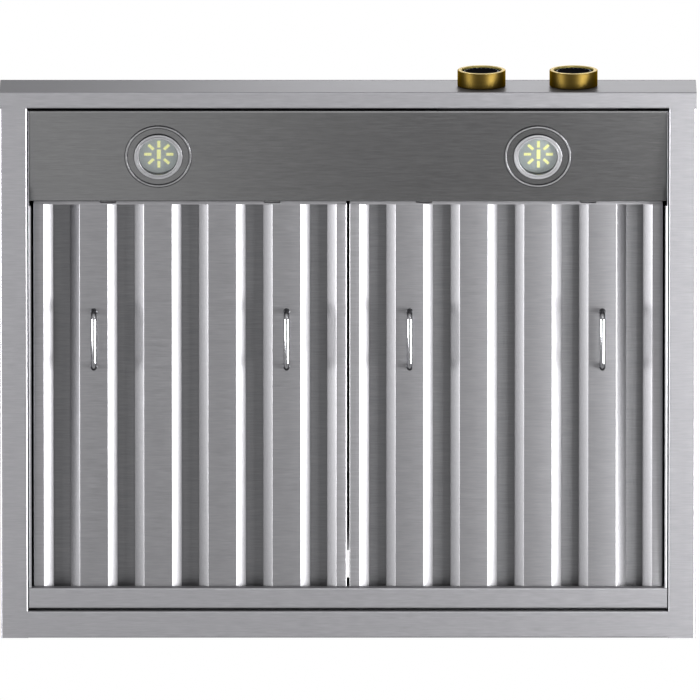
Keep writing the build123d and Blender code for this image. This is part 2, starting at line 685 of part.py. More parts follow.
def filter_handles():
    """Two wire handles, their legs welded to the first and the last front baffle"""
    front, rear = handle_legs()
    centre_z = HANDLE_R - HANDLE_DROP + HANDLE_BEND
    points = [(0, front, 0)]
    for centre_y, quarter in ((front + HANDLE_BEND, 2), (rear - HANDLE_BEND, 3)):
        for step in range(HANDLE_BEND_STEPS + 1):
            angle = radians(90 * (quarter + step / HANDLE_BEND_STEPS))
            points.append((0, centre_y + HANDLE_BEND * cos(angle), centre_z + HANDLE_BEND * sin(angle)))
    wire = Polyline(*points, (0, rear, 0))
    section = Plane(origin=wire @ 0, z_dir=wire % 0) * Circle(HANDLE_R)
    handle = sweep(section, wire, transition=Transition.RIGHT)
    return Compound(children=[Pos(x) * handle for x in handle_columns()])


def knob_place(x):
    """Place of a knob on the lip's face, with Z out of the face"""
    return Plane(origin=(x, -DEPTH, KNOB_Z), x_dir=(1, 0, 0), z_dir=(0, -1, 0)).location


def knob_ring():
    """Turning ring with a hollow hub that runs in the encoder"""
    inner = KNOB_R - KNOB_WALL
    bore = STEM_R + STEM_GAP
    tail = -SHEET - HUB_LENGTH
    return turned([(bore, tail), (HUB_R, tail), (HUB_R, KNOB_GAP), (KNOB_R, KNOB_GAP),
                   (KNOB_R, KNOB_LENGTH), (inner, KNOB_LENGTH), (inner, KNOB_FLOOR), (bore, KNOB_FLOOR)])


def knob_face():
    """Fixed glass face on a stem that stands on the control board"""
    top = KNOB_LENGTH - FACE_RECESS
    disc = along_z(Circle(KNOB_R - KNOB_WALL - FACE_GAP), top - FACE_THICKNESS, top)
    return disc + along_z(Circle(STEM_R), -CONTROL_DEPTH, top - FACE_THICKNESS)


def knob_encoder():
    """Encoder behind the lip; its bore carries the ring's hub"""
    back = -SHEET - ENCODER_LENGTH
    return along_z(Rectangle(ENCODER_SIDE, ENCODER_SIDE) - Circle(HUB_R + HUB_FIT), back, -SHEET)


def control_span():
    """The control box's two ends along X"""
    return min(KNOB_X) - CONTROL_MARGIN, max(KNOB_X) + CONTROL_MARGIN


def control_box():
    """Tray open to the lip, round the encoders and the board"""
    x0, x1 = control_span()
    box = block(x0, x1, at_front(SHEET), at_front(CONTROL_BACK), CONTROL_LOW, CONTROL_HIGH)
    wall = CONTROL_WALL
    return box - block(x0 + wall, x1 - wall, -DEPTH, at_front(CONTROL_BACK) - wall, CONTROL_LOW + wall,
                       CONTROL_HIGH - wall)


def control_board():
    """Circuit board across the box, behind the encoders"""
    x0, x1 = control_span()
    inset = CONTROL_WALL + SEAM
    board_y = at_front(CONTROL_DEPTH)
    return block(x0 + inset, x1 - inset, board_y, board_y + BOARD_THICKNESS, CONTROL_LOW + inset,
                 CONTROL_HIGH - inset)


# The blower's sections are drawn in Y and Z about the shaft

def blower_place():
    """Place of the blower's shaft"""
    return Pos(0, BLOWER_Y, BLOWER_Z)


def scroll_outline(grow):
    """Air path of the scroll, grown by a wall: a spiral round the wheel and an upright outlet"""
    inner_u = TONGUE - grow
    start = degrees(acos(inner_u / (SCROLL_START_R + grow)))
    spiral = []
    for step in range(2 * SCROLL_ARCS + 1):
        share = step / (2 * SCROLL_ARCS)
        radius = SCROLL_START_R + SCROLL_GROWTH * share + grow
        angle = radians(start + (360 - start) * share)
        spiral.append((radius * cos(angle), radius * sin(angle)))
    outer_u = SCROLL_END_R + grow
    edges = [ThreePointArc(*spiral[step:step + 3]) for step in range(0, 2 * SCROLL_ARCS, 2)]
    edges += Polyline(spiral[-1], (outer_u, OUTLET_HEIGHT), (inner_u, OUTLET_HEIGHT), spiral[0]).edges()
    return make_face(edges)


def outlet_flange(grow):
    """Rectangle round the scroll's outlet in X and Y, grown by a wall"""
    middle = BLOWER_Y + (TONGUE + SCROLL_END_R) / 2
    return Pos(0, middle) * Rectangle(BLOWER_WIDTH + 2 * grow, SCROLL_END_R - TONGUE + 2 * grow)


def blower_scroll():
    """Spiral wrap with a flange round its outlet"""
    half = BLOWER_WIDTH / 2
    wrap = along_x(scroll_outline(SHEET), -half, half)
    bore = along_x(scroll_outline(0), -half - SHEET, half + SHEET)
    top = BLOWER_Z + OUTLET_HEIGHT
    flange = along_z(outlet_flange(OUTLET_FLANGE) - outlet_flange(SHEET + SEAM), top - SHEET, top)
    ends = along_z(outlet_flange(SHEET + SEAM) - outlet_flange(0), top - SHEET, top)
    return blower_place() * (wrap - bore) + (flange + ends)


def blower_side():
    """Right side plate with its inlet mouth"""
    face = BLOWER_WIDTH / 2
    plate = along_x(scroll_outline(SHEET) - Circle(INLET_R), face, face + SHEET)
    plate -= block(0, WIDTH, 0, DEPTH, OUTLET_HEIGHT - SHEET - SEAM, OUTLET_HEIGHT + SHEET)
    mouth = along_x(Circle(INLET_R + SHEET) - Circle(INLET_R), face - INLET_LIP, face + SHEET)
    return blower_place() * (plate + mouth)


def wheel_rim(radius):
    """Outline of a wheel part, with a flat for each blade"""
    return RegularPolygon(radius, BLADE_COUNT)


def blades(reach, gap=0):
    """The wheel's forward curved blades, or with a gap the slots that hold them"""
    middle_r = (WHEEL_R + WHEEL_INNER_R) / 2
    places = ((WHEEL_INNER_R + SHEET - gap, 0), (middle_r, BLADE_SWEEP * BLADE_HOLLOW),
              (WHEEL_R - BLADE_STEP + gap, BLADE_SWEEP))
    points = [(r * cos(radians(a)), r * sin(radians(a))) for r, a in places]
    blade = along_x(folded(points, BLADE_SHEET + 2 * gap, bend=None), -reach, reach)
    return [Rot(X=number * 360 / BLADE_COUNT) * blade for number in range(BLADE_COUNT)]


def impeller_disc():
    """Middle disc and hub, with slots in the disc's rim for the blades"""
    disc = along_x(wheel_rim(WHEEL_R - 2 * BLADE_STEP) - Circle(SHAFT_R), -WHEEL_DISC / 2, WHEEL_DISC / 2)
    disc += along_x(Circle(WHEEL_HUB_R) - Circle(SHAFT_R), -WHEEL_HUB_HALF, WHEEL_HUB_HALF)
    return blower_place() * (disc - blades(WHEEL_DISC, BLADE_GAP))


def impeller_blades():
    """Blades through the disc's slots, from end ring to end ring"""
    reach = WHEEL_HALF - WHEEL_RING - BLADE_GAP
    return Compound(children=[blower_place() * blade for blade in blades(reach)])


def impeller_rings():
    """The double inlet wheel's two end rings"""
    section = wheel_rim(WHEEL_R) - wheel_rim(WHEEL_INNER_R)
    ends = (-WHEEL_HALF, WHEEL_HALF - WHEEL_RING)
    return Compound(children=[blower_place() * along_x(section, x, x + WHEEL_RING) for x in ends])


def motor_shaft():
    """Shaft that carries the wheel"""
    return blower_place() * rod_x(SHAFT_R, MOTOR_END + SHEET, WHEEL_HUB_HALF)


def motor():
    """Motor inside the left inlet"""
    body = rod_x(MOTOR_R, MOTOR_END, MOTOR_END + MOTOR_LENGTH)
    return blower_place() * (body - rod_x(SHAFT_R + SHAFT_FIT, MOTOR_END + SHEET / 2, WHEEL_HALF))


def motor_bracket():
    """Ring on the motor's end, with three arms to the left side plate"""
    outer_face = MOTOR_END - MOTOR_ARM_SHEET
    plate_face = -BLOWER_WIDTH / 2 - SHEET
    bracket = along_x(Circle(MOTOR_R) - Circle(MOTOR_R / 2), outer_face, MOTOR_END)
    for turn in (30, 150, 270):
        reach = MOTOR_ARM_REACH - MOTOR_R / 2
        arm = Pos(MOTOR_R / 2 + reach / 2, 0) * Rectangle(reach, MOTOR_ARM)
        pad = Pos(MOTOR_ARM_REACH - MOTOR_ARM / 2, 0) * Rectangle(MOTOR_ARM, MOTOR_ARM)
        bracket += Rot(X=turn) * (along_x(arm - Circle(MOTOR_R / 2), outer_face, MOTOR_END)
                                  + along_x(pad, MOTOR_END, plate_face))
    return blower_place() * bracket


def blower_feet():
    """Angles that hang the blower in the canopy's top opening"""
    plate_x = BLOWER_WIDTH / 2 + SHEET + SHEET / 2
    low = CANOPY_TOP + SHEET / 2
    section = folded([(plate_x, low + FOOT_HEIGHT), (plate_x, low), (FOOT_REACH, low)], bend=None)
    foot = along_y(section, -FOOT_WIDTH / 2, FOOT_WIDTH / 2)
    feet = [Pos(0, y) * (foot if side > 0 else mirrored(foot)) for side, y in foot_places()]
    holes = screw_holes(foot_screw_places(), CANOPY_TOP)
    return Compound(children=[piece - holes for piece in feet])


def collar_transition(grow, z0, z1):
    """Solid over the blower's outlet that widens in Y to the round collar's width, grown by a wall"""
    low_front, low_rear = BLOWER_Y + TONGUE - grow, BLOWER_Y + SCROLL_END_R + grow
    high_front, high_rear = COLLAR_Y - COLLAR_R - grow, COLLAR_Y + COLLAR_R + grow
    half = max(BLOWER_WIDTH / 2, COLLAR_R) + grow
    outline = Polyline((low_front, z0), (high_front, z1), (high_rear, z1), (low_rear, z0), close=True)
    return along_x(make_face(outline), -half, half)


def outlet_adapter():
    """Adapter on the blower: flange, flat sided transition and a top plate with a round throat"""
    base = BLOWER_Z + OUTLET_HEIGHT
    plate = COLLAR_Z - COLLAR_WALL
    body = collar_transition(COLLAR_WALL, base, COLLAR_Z)
    body += along_z(outlet_flange(OUTLET_FLANGE), base, base + 2 * COLLAR_WALL)
    body -= collar_transition(0, base, plate)
    return body - Pos(0, COLLAR_Y) * along_z(Circle(COLLAR_R - COLLAR_WALL - FLAP_LEDGE), plate, COLLAR_Z)


def duct_collar():
    """Round collar on the adapter, with a ledge under the flaps"""
    inner = COLLAR_R - COLLAR_WALL
    ledge_top = COLLAR_Z + FLAP_Z - FLAP_SHEET / 2 - FLAP_LEDGE_DROP
    collar = tube(COLLAR_R, inner, COLLAR_Z, COLLAR_Z + COLLAR_HEIGHT)
    collar += tube(inner + COLLAR_WALL / 2, inner - FLAP_LEDGE, COLLAR_Z, ledge_top)
    rod_hole = Pos(0, 0, COLLAR_Z + FLAP_Z) * rod_x(ROD_R + ROD_FIT, -COLLAR_R - SHEET, COLLAR_R + SHEET)
    return Pos(0, COLLAR_Y) * (collar - rod_hole)


def damper_rod():
    """Rod across the collar that carries both flaps"""
    return Pos(0, COLLAR_Y, COLLAR_Z + FLAP_Z) * rod_x(ROD_R, -COLLAR_R, COLLAR_R)


def damper_flap(knuckle_x):
    """Half disc on the rear side of the rod, with two knuckles round the rod"""
    radius = COLLAR_R - COLLAR_WALL - FLAP_GAP
    half = FLAP_SHEET / 2
    disc = along_z(Circle(radius), -half, half) - block(-radius, radius, -radius, FLAP_EDGE, -1, 1)
    for x in (-knuckle_x, knuckle_x):
        x0, x1 = x - KNUCKLE_LENGTH / 2, x + KNUCKLE_LENGTH / 2
        disc += block(x0, x1, 0, FLAP_EDGE, -half, half) + rod_x(KNUCKLE_R, x0, x1)
    return disc - rod_x(ROD_R + ROD_FIT, -COLLAR_R, COLLAR_R)


def rounded_box(size, radius):
    """Box with rounded corners that stands out from the back panel"""
    width, depth, height = size
    box = fillet(Box(width, depth, height).edges().filter_by(Axis.Y), radius)
    return Pos(0, -SHEET - depth / 2, SUPPLY_HEIGHT) * box


def junction_box():
    """Terminal box on the back panel"""
    return Pos(JUNCTION_X) * rounded_box(JUNCTION_SIZE, JUNCTION_CORNER)


def cable_gland():
    """Gland on top of the terminal box, where the supply lead enters"""
    _, depth, height = JUNCTION_SIZE
    low = SUPPLY_HEIGHT + height / 2
    gland = along_z(RegularPolygon(GLAND_R, 6) - Circle(GLAND_BORE_R), low, low + GLAND_LENGTH)
    return Pos(JUNCTION_X, -SHEET - depth / 2) * gland


def capacitor():
    """Motor capacitor on the back panel"""
    return Pos(CAPACITOR_X) * rounded_box(CAPACITOR_SIZE, CAPACITOR_CORNER)


def save_pair(name, shape):
    """Saves a right hand piece and its mirror image"""
    save(f"{name}_right", shape)
    save(f"{name}_left", mirrored(shape))


def save_alike(name, shape, places):
    """Saves the same piece at several places as separate solids of one node"""
    save(name, Compound(children=[place * shape for place in places]))


def save_rim_and_covers():
    save("front_fascia", front_fascia())
    save_pair("side_lip", side_lip())
    save("back_panel", back_panel())
    save("canopy_shell", canopy_shell())
    save("chimney_lower", chimney_lower())
    save("chimney_upper", chimney_upper())
    save("ceiling_bracket", ceiling_bracket())
    save("chimney_screws", screws(chimney_screw_places(), CANOPY_TOP + SHEET))


def save_liner_and_lamps():
    save("light_panel", light_panel())
    save_pair("side_rail", side_rail())
    save("grease_channel", grease_channel())
    save("filter_catches", filter_catches())
    save("led_driver", panel_place(0) * led_driver())
    save_alike("lamp_bezels", lamp_bezel(), lamp_places())
    save_alike("lamp_lenses", lamp_lens(), lamp_places())
    save_alike("lamp_boards", lamp_board(), lamp_places())
    save_alike("lamp_housings", lamp_housing(), lamp_places())


def save_filters():
    pieces = {"filter_frame": filter_frame(), "front_baffles": front_baffles(), "rear_baffles": rear_baffles(),
              "filter_handles": filter_handles()}
    for side, sign in (("left", -1), ("right", 1)):
        for name, shape in pieces.items():
            save(f"{name}_{side}", filter_place(sign) * shape)


def save_controls():
    for use, x in zip(("fan", "light"), KNOB_X):
        save(f"knob_ring_{use}", knob_place(x) * knob_ring())
    save_alike("knob_faces", knob_face(), [knob_place(x) for x in KNOB_X])
    save_alike("knob_encoders", knob_encoder(), [knob_place(x) for x in KNOB_X])
    save("control_box", control_box())
    save("control_board", control_board())
    save("junction_box", junction_box())
    save("cable_gland", cable_gland())
    save("capacitor", capacitor())


def save_blower_and_duct():
    save("blower_scroll", blower_scroll())
    save_pair("blower_side", blower_side())
    save("impeller_disc", impeller_disc())
    save("impeller_blades", impeller_blades())
    save("impeller_rings", impeller_rings())
    save("motor_shaft", motor_shaft())
    save("motor", motor())
    save("motor_bracket", motor_bracket())
    save("blower_feet", blower_feet())
    save("blower_screws", screws(foot_screw_places(), CANOPY_TOP + SHEET))
    save("outlet_adapter", outlet_adapter())
    save("duct_collar", duct_collar())
    save("damper_rod", damper_rod())
    rod = Pos(0, COLLAR_Y, COLLAR_Z + FLAP_Z)
    save("damper_flap_rear", rod * damper_flap(INNER_KNUCKLE_X))
    save("damper_flap_front", rod * mirror(damper_flap(OUTER_KNUCKLE_X), about=Plane.XZ))


os.makedirs("parts", exist_ok=True)
save_rim_and_covers()
save_liner_and_lamps()
save_filters()
save_controls()
save_blower_and_duct()
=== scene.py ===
import json
from math import atan2, cos, pi, radians, sin, tan

import bmesh
import bpy
from mathutils import Matrix, Vector


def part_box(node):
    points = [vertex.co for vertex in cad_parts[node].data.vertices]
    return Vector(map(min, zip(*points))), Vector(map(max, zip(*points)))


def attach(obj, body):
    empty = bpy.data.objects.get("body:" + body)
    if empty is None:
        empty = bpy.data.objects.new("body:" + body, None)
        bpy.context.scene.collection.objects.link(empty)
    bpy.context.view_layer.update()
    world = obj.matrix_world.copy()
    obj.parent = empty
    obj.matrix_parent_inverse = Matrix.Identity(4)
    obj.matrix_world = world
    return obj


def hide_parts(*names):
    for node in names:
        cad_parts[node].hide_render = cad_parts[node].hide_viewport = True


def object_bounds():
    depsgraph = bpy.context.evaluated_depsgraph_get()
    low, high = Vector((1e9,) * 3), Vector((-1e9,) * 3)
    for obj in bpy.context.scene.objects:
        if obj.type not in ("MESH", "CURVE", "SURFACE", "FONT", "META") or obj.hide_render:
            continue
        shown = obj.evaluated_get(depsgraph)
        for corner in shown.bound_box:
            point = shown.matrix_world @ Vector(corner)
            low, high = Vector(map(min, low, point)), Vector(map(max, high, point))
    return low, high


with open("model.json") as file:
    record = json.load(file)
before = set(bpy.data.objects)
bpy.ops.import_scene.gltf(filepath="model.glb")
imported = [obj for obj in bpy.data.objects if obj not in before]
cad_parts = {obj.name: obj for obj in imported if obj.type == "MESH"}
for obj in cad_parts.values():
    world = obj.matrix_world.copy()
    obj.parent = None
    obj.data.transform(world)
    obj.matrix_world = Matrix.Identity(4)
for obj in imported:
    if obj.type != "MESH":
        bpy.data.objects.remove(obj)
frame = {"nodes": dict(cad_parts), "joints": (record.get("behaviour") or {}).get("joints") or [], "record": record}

# Range hood for a wall, seen from below. Lengths are in metres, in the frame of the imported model.
MM = 0.001
CAD_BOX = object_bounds()
LOW = CAD_BOX[0]
NODES = frame["nodes"]
JOINTS = {joint["name"]: joint for joint in frame["joints"]}
NODE_SLOTS = {part["node"]: part["material_slot"] for part in frame["record"]["subparts"]}

# Camera: looks up at the underside, tilted off the vertical so that the lip's face shows
PHOTO_SIDE = 700
PIXEL = 1.095 * MM  # what one pixel covers on the rim
CAMERA_TILT = radians(11.6)
CAMERA_DISTANCE = 30.0
SENSOR = 36.0
AIM = Vector((0.0021, -0.3227, LOW.z))


def make_camera():
    data = bpy.data.cameras.new("camera")
    data.sensor_width = SENSOR
    data.lens = SENSOR * CAMERA_DISTANCE / (PHOTO_SIDE * PIXEL)
    data.clip_end = 3 * CAMERA_DISTANCE
    camera = bpy.data.objects.new("camera", data)
    camera.location = AIM - CAMERA_DISTANCE * Vector((0, sin(CAMERA_TILT), cos(CAMERA_TILT)))
    camera.rotation_euler = (pi - CAMERA_TILT, 0, 0)
    bpy.context.scene.collection.objects.link(camera)
    bpy.context.scene.camera = camera


# Node trees

class Tree:
    """A material's or world's nodes, with short calls for the ones used here"""

    def __init__(self, owner):
        owner.use_nodes = True
        self.nodes = owner.node_tree.nodes
        self.links = owner.node_tree.links
        self.nodes.clear()

    def add(self, kind, inputs=(), **settings):
        """New node; inputs maps socket names or numbers to values or other nodes' outputs"""
        node = self.nodes.new(kind)
        for name, value in settings.items():
            setattr(node, name, value)
        for name, value in dict(inputs).items():
            if isinstance(value, bpy.types.NodeSocket):
                self.links.new(value, node.inputs[name])
            else:
                node.inputs[name].default_value = value
        return node

    def end(self, shader, kind="ShaderNodeOutputMaterial"):
        self.links.new(shader, self.add(kind).inputs[0])

    def math(self, operation, a, b=0.0):
        return self.add("ShaderNodeMath", {0: a, 1: b}, operation=operation).outputs[0]

    def remap(self, value, low, high, since=0.0, until=1.0):
        """Value from low to high while another goes from since to until"""
        return self.add("ShaderNodeMapRange", {0: value, 1: since, 2: until, 3: low, 4: high}).outputs[0]

    def vector(self, parts):
        return self.add("ShaderNodeCombineXYZ", dict(enumerate(parts))).outputs[0]

    def ramp(self, value, *stops):
        """Colour ramp between (place, grey or colour) stops"""
        node = self.add("ShaderNodeValToRGB", {0: value})
        while len(node.color_ramp.elements) < len(stops):
            node.color_ramp.elements.new(0.5)
        for element, (place, colour) in zip(node.color_ramp.elements, stops):
            element.position = place
            element.color = (*colour, 1) if isinstance(colour, tuple) else (colour, colour, colour, 1)
        return node.outputs[0]

    def place(self, scale=(1, 1, 1)):
        """Object coordinates, stretched"""
        where = self.add("ShaderNodeTexCoord").outputs["Object"]
        return self.add("ShaderNodeMapping", {"Vector": where, "Scale": scale}).outputs[0]

    def noise(self, vector, scale=1.0, detail=2.0, roughness=0.5):
        inputs = {"Vector": vector, "Scale": scale, "Detail": detail, "Roughness": roughness}
        return self.add("ShaderNodeTexNoise", inputs).outputs[0]

    def mix(self, factor, a, b):
        node = self.add("ShaderNodeMix", {0: factor}, data_type="RGBA")
        for socket, value in ((node.inputs[6], a), (node.inputs[7], b)):
            if isinstance(value, bpy.types.NodeSocket):
                self.links.new(value, socket)
            else:
                socket.default_value = (*value, 1)
        return node.outputs[2]

    def bump(self, height, distance, strength=1.0):
        inputs = {"Height": height, "Distance": distance, "Strength": strength}
        return self.add("ShaderNodeBump", inputs).outputs[0]


def principled(name, build):
    """Material with one Principled shader; build(tree) gives its inputs"""
    material = bpy.data.materials.new(name)
    tree = Tree(material)
    tree.end(tree.add("ShaderNodeBsdfPrincipled", build(tree)).outputs[0])
    return material


# Between these two a noise texture has nearly all its values
NOISE_LOW, NOISE_HIGH = 0.3, 0.7


def shades(tree, value, colour, spread):
    """Colour that wavers by a share of itself with a noise value"""
    dark, light = (tuple(c * (1 + side * spread) for c in colour) for side in (-1, 1))
    return tree.mix(tree.ramp(value, (NOISE_LOW, 0.0), (NOISE_HIGH, 1.0)), dark, light)


# Brushed metal. Streaks and bands have one texture scale along the grain and one across it.
STREAK_ALONG = 55.0
STREAK_ACROSS = 900.0
BAND_ALONG = 11.0
BAND_ACROSS = 240.0
STREAK_SHARE = 0.75
END_FACE = 0.8
SCRATCH_DEPTH = 0.02 * MM
# The grain's direction leans a little, so that faces square to it still have a tangent
SKEW = (1.0, 0.03, 0.02)
# Turned metal: texture scales that make rings about Y
RINGS = (9.0, 700.0, 9.0)
RING_WAVER = 0.05
# Smooth plating: how far its roughness goes down and up with the clouding
CLEAREST, DULLEST = 0.6, 1.6
# Moulded plastic
MOULD_WAVER = 0.06
MOULD_DEPTH = 0.03 * MM


def leaning(tree, axis):
    """Direction of the grain along an axis"""
    return tree.vector([SKEW[number - axis] for number in range(3)])


def streaks(tree, axis):
    """Fine and broad streaks along an axis; where that is X, faces that look along X get them along Y"""
    def run(lengthwise, along, across):
        scale = [across] * 3
        scale[lengthwise] = along
        return tree.noise(tree.place(scale), detail=3.0, roughness=0.6)

    side = 1 if axis == 0 else axis
    normal = tree.add("ShaderNodeTexCoord").outputs["Normal"]
    parts = tree.add("ShaderNodeSeparateXYZ", {0: normal}).outputs
    at_end = tree.math("GREATER_THAN", tree.math("ABSOLUTE", parts[0]), END_FACE)
    both = []
    for along, across in ((STREAK_ALONG, STREAK_ACROSS), (BAND_ALONG, BAND_ACROSS)):
        node = tree.add("ShaderNodeMix", {0: at_end, 2: run(axis, along, across), 3: run(side, along, across)})
        both.append(node.outputs[0])
    return both


def brushed(name, colour, roughness, grain=0, spread=0.16, anisotropy=0.0, edge=0.6, relief=0.35, waver=0.05):
    """Sheet brushed along X, or along Z for grain 2"""
    def build(tree):
        fine, broad = streaks(tree, grain)
        value = tree.math("ADD", tree.math("MULTIPLY", fine, STREAK_SHARE),
                          tree.math("MULTIPLY", broad, 1 - STREAK_SHARE))
        rough = tree.remap(fine, roughness - waver, roughness + waver, NOISE_LOW, NOISE_HIGH)
        normal = tree.add("ShaderNodeNewGeometry").outputs["Normal"]
        along = leaning(tree, grain)
        across = tree.add("ShaderNodeVectorMath", {0: normal, 1: along}, operation="CROSS_PRODUCT").outputs[0]
        return {"Base Color": shades(tree, value, colour, spread), "Metallic": 1.0,
                "Specular Tint": (edge, edge, edge, 1),
                "Roughness": rough, "Anisotropic": anisotropy, "Tangent": across,
                "Normal": tree.bump(fine, SCRATCH_DEPTH, relief)}
    return principled(name, build)


def turned(name, colour, roughness, spread, edge):
    """Metal turned about Y, whose highlights run along the axis; edge is its colour at grazing angles"""
    def build(tree):
        rings = tree.noise(tree.place(RINGS), detail=3.0)
        rough = tree.remap(rings, roughness - RING_WAVER, roughness + RING_WAVER)
        return {"Base Color": shades(tree, rings, colour, spread), "Metallic": 1.0,
                "Specular Tint": edge, "Roughness": rough, "Anisotropic": 0.5,
                "Tangent": leaning(tree, 1), "Normal": tree.bump(rings, SCRATCH_DEPTH, 0.3)}
    return principled(name, build)


def polished(name, colour, roughness, edge=1.0):
    """Bright plating with faint clouding"""
    def build(tree):
        cloud = tree.noise(tree.place(), scale=60.0, detail=3.0)
        rough = tree.remap(cloud, roughness * CLEAREST, roughness * DULLEST)
        return {"Base Color": shades(tree, cloud, colour, spread=0.02), "Metallic": 1.0, "Roughness": rough,
                "Specular Tint": (edge, edge, edge, 1)}
    return principled(name, build)


def galvanised(name, colour):
    """Zinc coat with its crystal pattern"""
    def build(tree):
        cells = tree.add("ShaderNodeTexVoronoi", {"Vector": tree.place(), "Scale": 110.0}).outputs["Color"]
        grey = tree.add("ShaderNodeSeparateColor", {0: cells}).outputs[0]
        rough = tree.remap(grey, low=0.38, high=0.58)
        return {"Base Color": shades(tree, grey, colour, spread=0.10), "Metallic": 1.0, "Roughness": rough}
    return principled(name, build)


def moulded(name, colour, roughness, grain=900.0, metallic=0.0):
    """Plastic or lacquer with a fine even texture"""
    def build(tree):
        fine = tree.noise(tree.place(), grain, detail=2.0)
        wide = tree.noise(tree.place(), scale=18.0, detail=3.0)
        rough = tree.remap(fine, roughness - MOULD_WAVER, roughness + MOULD_WAVER)
        return {"Base Color": shades(tree, wide, colour, spread=0.06), "Metallic": metallic,
                "Roughness": rough, "Normal": tree.bump(fine, MOULD_DEPTH, 0.4)}
    return principled(name, build)


def glass_face(name, colour):
    """Dark satin cover glass"""
    def build(tree):
        smear = tree.noise(tree.place(), scale=45.0, detail=4.0)
        return {"Base Color": shades(tree, smear, colour, spread=0.2),
                "Roughness": tree.remap(smear, low=0.22, high=0.34), "Specular IOR Level": 0.0}
    return principled(name, build)


def glowing(name, colour, strength):
    """Glowing lamp part: a chip under pale resin, or the board behind the chips, whose glow is painted light for
    the chips' light on it
    """
    def build(tree):
        cloud = tree.noise(tree.place(), scale=900.0, detail=2.0)
        tint = shades(tree, cloud, colour, spread=0.08)
        return {"Base Color": tint, "Roughness": 0.35, "Emission Color": tint, "Emission Strength": strength}
    return principled(name, build)


def clear_lens(name, tint):
    """Thin clear cover: lets light straight through and mirrors at its rim"""
    material = bpy.data.materials.new(name)
    tree = Tree(material)
    ripple = tree.noise(tree.place(), scale=160.0, detail=2.0)
    rough = tree.remap(ripple, low=0.03, high=0.08)
    through = tree.add("ShaderNodeBsdfTransparent", {0: (*tint, 1)}).outputs[0]
    shine = tree.add("ShaderNodeBsdfGlossy", {"Roughness": rough}).outputs[0]
    edge = tree.add("ShaderNodeFresnel", {"IOR": 1.5}).outputs[0]
    tree.end(tree.add("ShaderNodeMixShader", {0: edge, 1: through, 2: shine}).outputs[0])
    return material


SHEET_GREY = (0.268, 0.266, 0.279)


def make_materials():
    """One finish for each material slot of the record, then those of single pieces"""
    return {
        "brushed_steel": brushed("brushed_steel", SHEET_GREY, 0.42, spread=0.10, anisotropy=0.3, edge=0.42,
                                 relief=0.22, waver=0.03),
        "filter_steel": brushed("filter_steel", (0.165, 0.164, 0.171), 0.40, spread=0.10, relief=0.22, waver=0.03),
        # The filter frame is the filters' own steel; its lighter base is painted light against the shade that the
        # hood's sides cast on it
        "frame_steel_painted_light": brushed("frame_steel_painted_light", (0.210, 0.208, 0.217), 0.40, spread=0.11, relief=0.25, waver=0.03),
        "liner_steel": brushed("liner_steel", (0.200, 0.200, 0.210), 0.45),
        "chrome": brushed("chrome", (0.27, 0.27, 0.28), 0.45, spread=0.03, edge=0.3),
        "handle_chrome": polished("handle_chrome", (0.22, 0.22, 0.23), 0.08, edge=0.25),
        "gold": turned("gold", (0.060, 0.040, 0.0090), 0.48, 0.10, (0.95, 0.70, 0.25, 1)),
        "black_glass": glass_face("black_glass", (0.006, 0.006, 0.007)),
        "lens": clear_lens("lens", (0.80, 0.82, 0.82)),
        # The board's faint glow is painted light: the chips' light falling on it
        "lamp_board": glowing("lamp_board", (0.42, 0.435, 0.44), 0.62),
        "galvanised": galvanised("galvanised", (0.50, 0.51, 0.52)),
        "blower_sheet": moulded("blower_sheet", (0.36, 0.37, 0.38), 0.50, metallic=0.4),
        "impeller": moulded("impeller", (0.05, 0.05, 0.055), 0.50),
        "motor": moulded("motor", (0.20, 0.20, 0.21), 0.45, metallic=0.5),
        "shaft_steel": brushed("shaft_steel", (0.50, 0.50, 0.51), 0.25),
        "black_plastic": moulded("black_plastic", (0.025, 0.025, 0.027), 0.45),
        "white_plastic": moulded("white_plastic", (0.72, 0.72, 0.69), 0.40),
        "circuit_board": moulded("circuit_board", (0.02, 0.12, 0.05), 0.40, grain=300.0),
        "spring_steel": brushed("spring_steel", (0.45, 0.45, 0.46), 0.30),
        "screw_steel": polished("screw_steel", (0.55, 0.55, 0.57), 0.28),
        "collar_plastic": moulded("collar_plastic", (0.09, 0.09, 0.095), 0.48),
        "flap": galvanised("flap", (0.56, 0.56, 0.58)),
        # Light panel: a smoother sheet; its darker base is partly painted shade, for the darker surroundings it
        # reflects
        "panel_steel": brushed("panel_steel", (0.207, 0.207, 0.210), 0.24, spread=0.11, relief=0.04, waver=0.01),
        # Rear baffles: the filters' steel with a dark base, painted shade for the recesses between the front
        # baffles
        "baffle_steel_painted_shade": brushed("baffle_steel_painted_shade", (0.115, 0.115, 0.120), 0.42),
        "cover_steel": brushed("cover_steel", SHEET_GREY, 0.42, grain=2, anisotropy=0.3),
        "chip": glowing("chip", (0.84, 0.80, 0.36), 0.98),
        # Lighter gold skins of the knob rings: painted highlights
        "gold_painted_highlight": brushed("gold_painted_highlight", (0.80, 0.68, 0.24), 0.50, spread=0.04),
        "rim_gold_painted_highlight": brushed("rim_gold_painted_highlight", (0.36, 0.27, 0.09), 0.45, spread=0.04),
        "emboss_light": brushed("emboss_light", (0.19, 0.19, 0.195), 0.42),
        # Near-black steel in the grooves pressed round the lamps: painted shade
        "groove_painted_shade": brushed("groove_painted_shade", (0.022, 0.022, 0.024), 0.45),
        "print": moulded("print", (0.80, 0.80, 0.80), 0.40),
    }


# CAD nodes whose finish isn't the one of their slot
OWN_FINISH = {"light_panel": "panel_steel", "back_panel": "brushed_steel", "chimney_lower": "cover_steel",
              "chimney_upper": "cover_steel"}


def paint(obj, material):
    obj.data.materials.clear()
    obj.data.materials.append(material)


def paint_nodes():
    for name, obj in NODES.items():
        paint(obj, MATERIALS[OWN_FINISH.get(name, NODE_SLOTS[name])])


# Mesh code. Verts and edges are gathered in dicts, because a set's order may change from run to run.
# Points nearer than these are one point: in a turned outline, and in a CAD node
TURNED_MERGE = 1e-7
CAD_MERGE = 1e-6
EASE_STEPS = 3


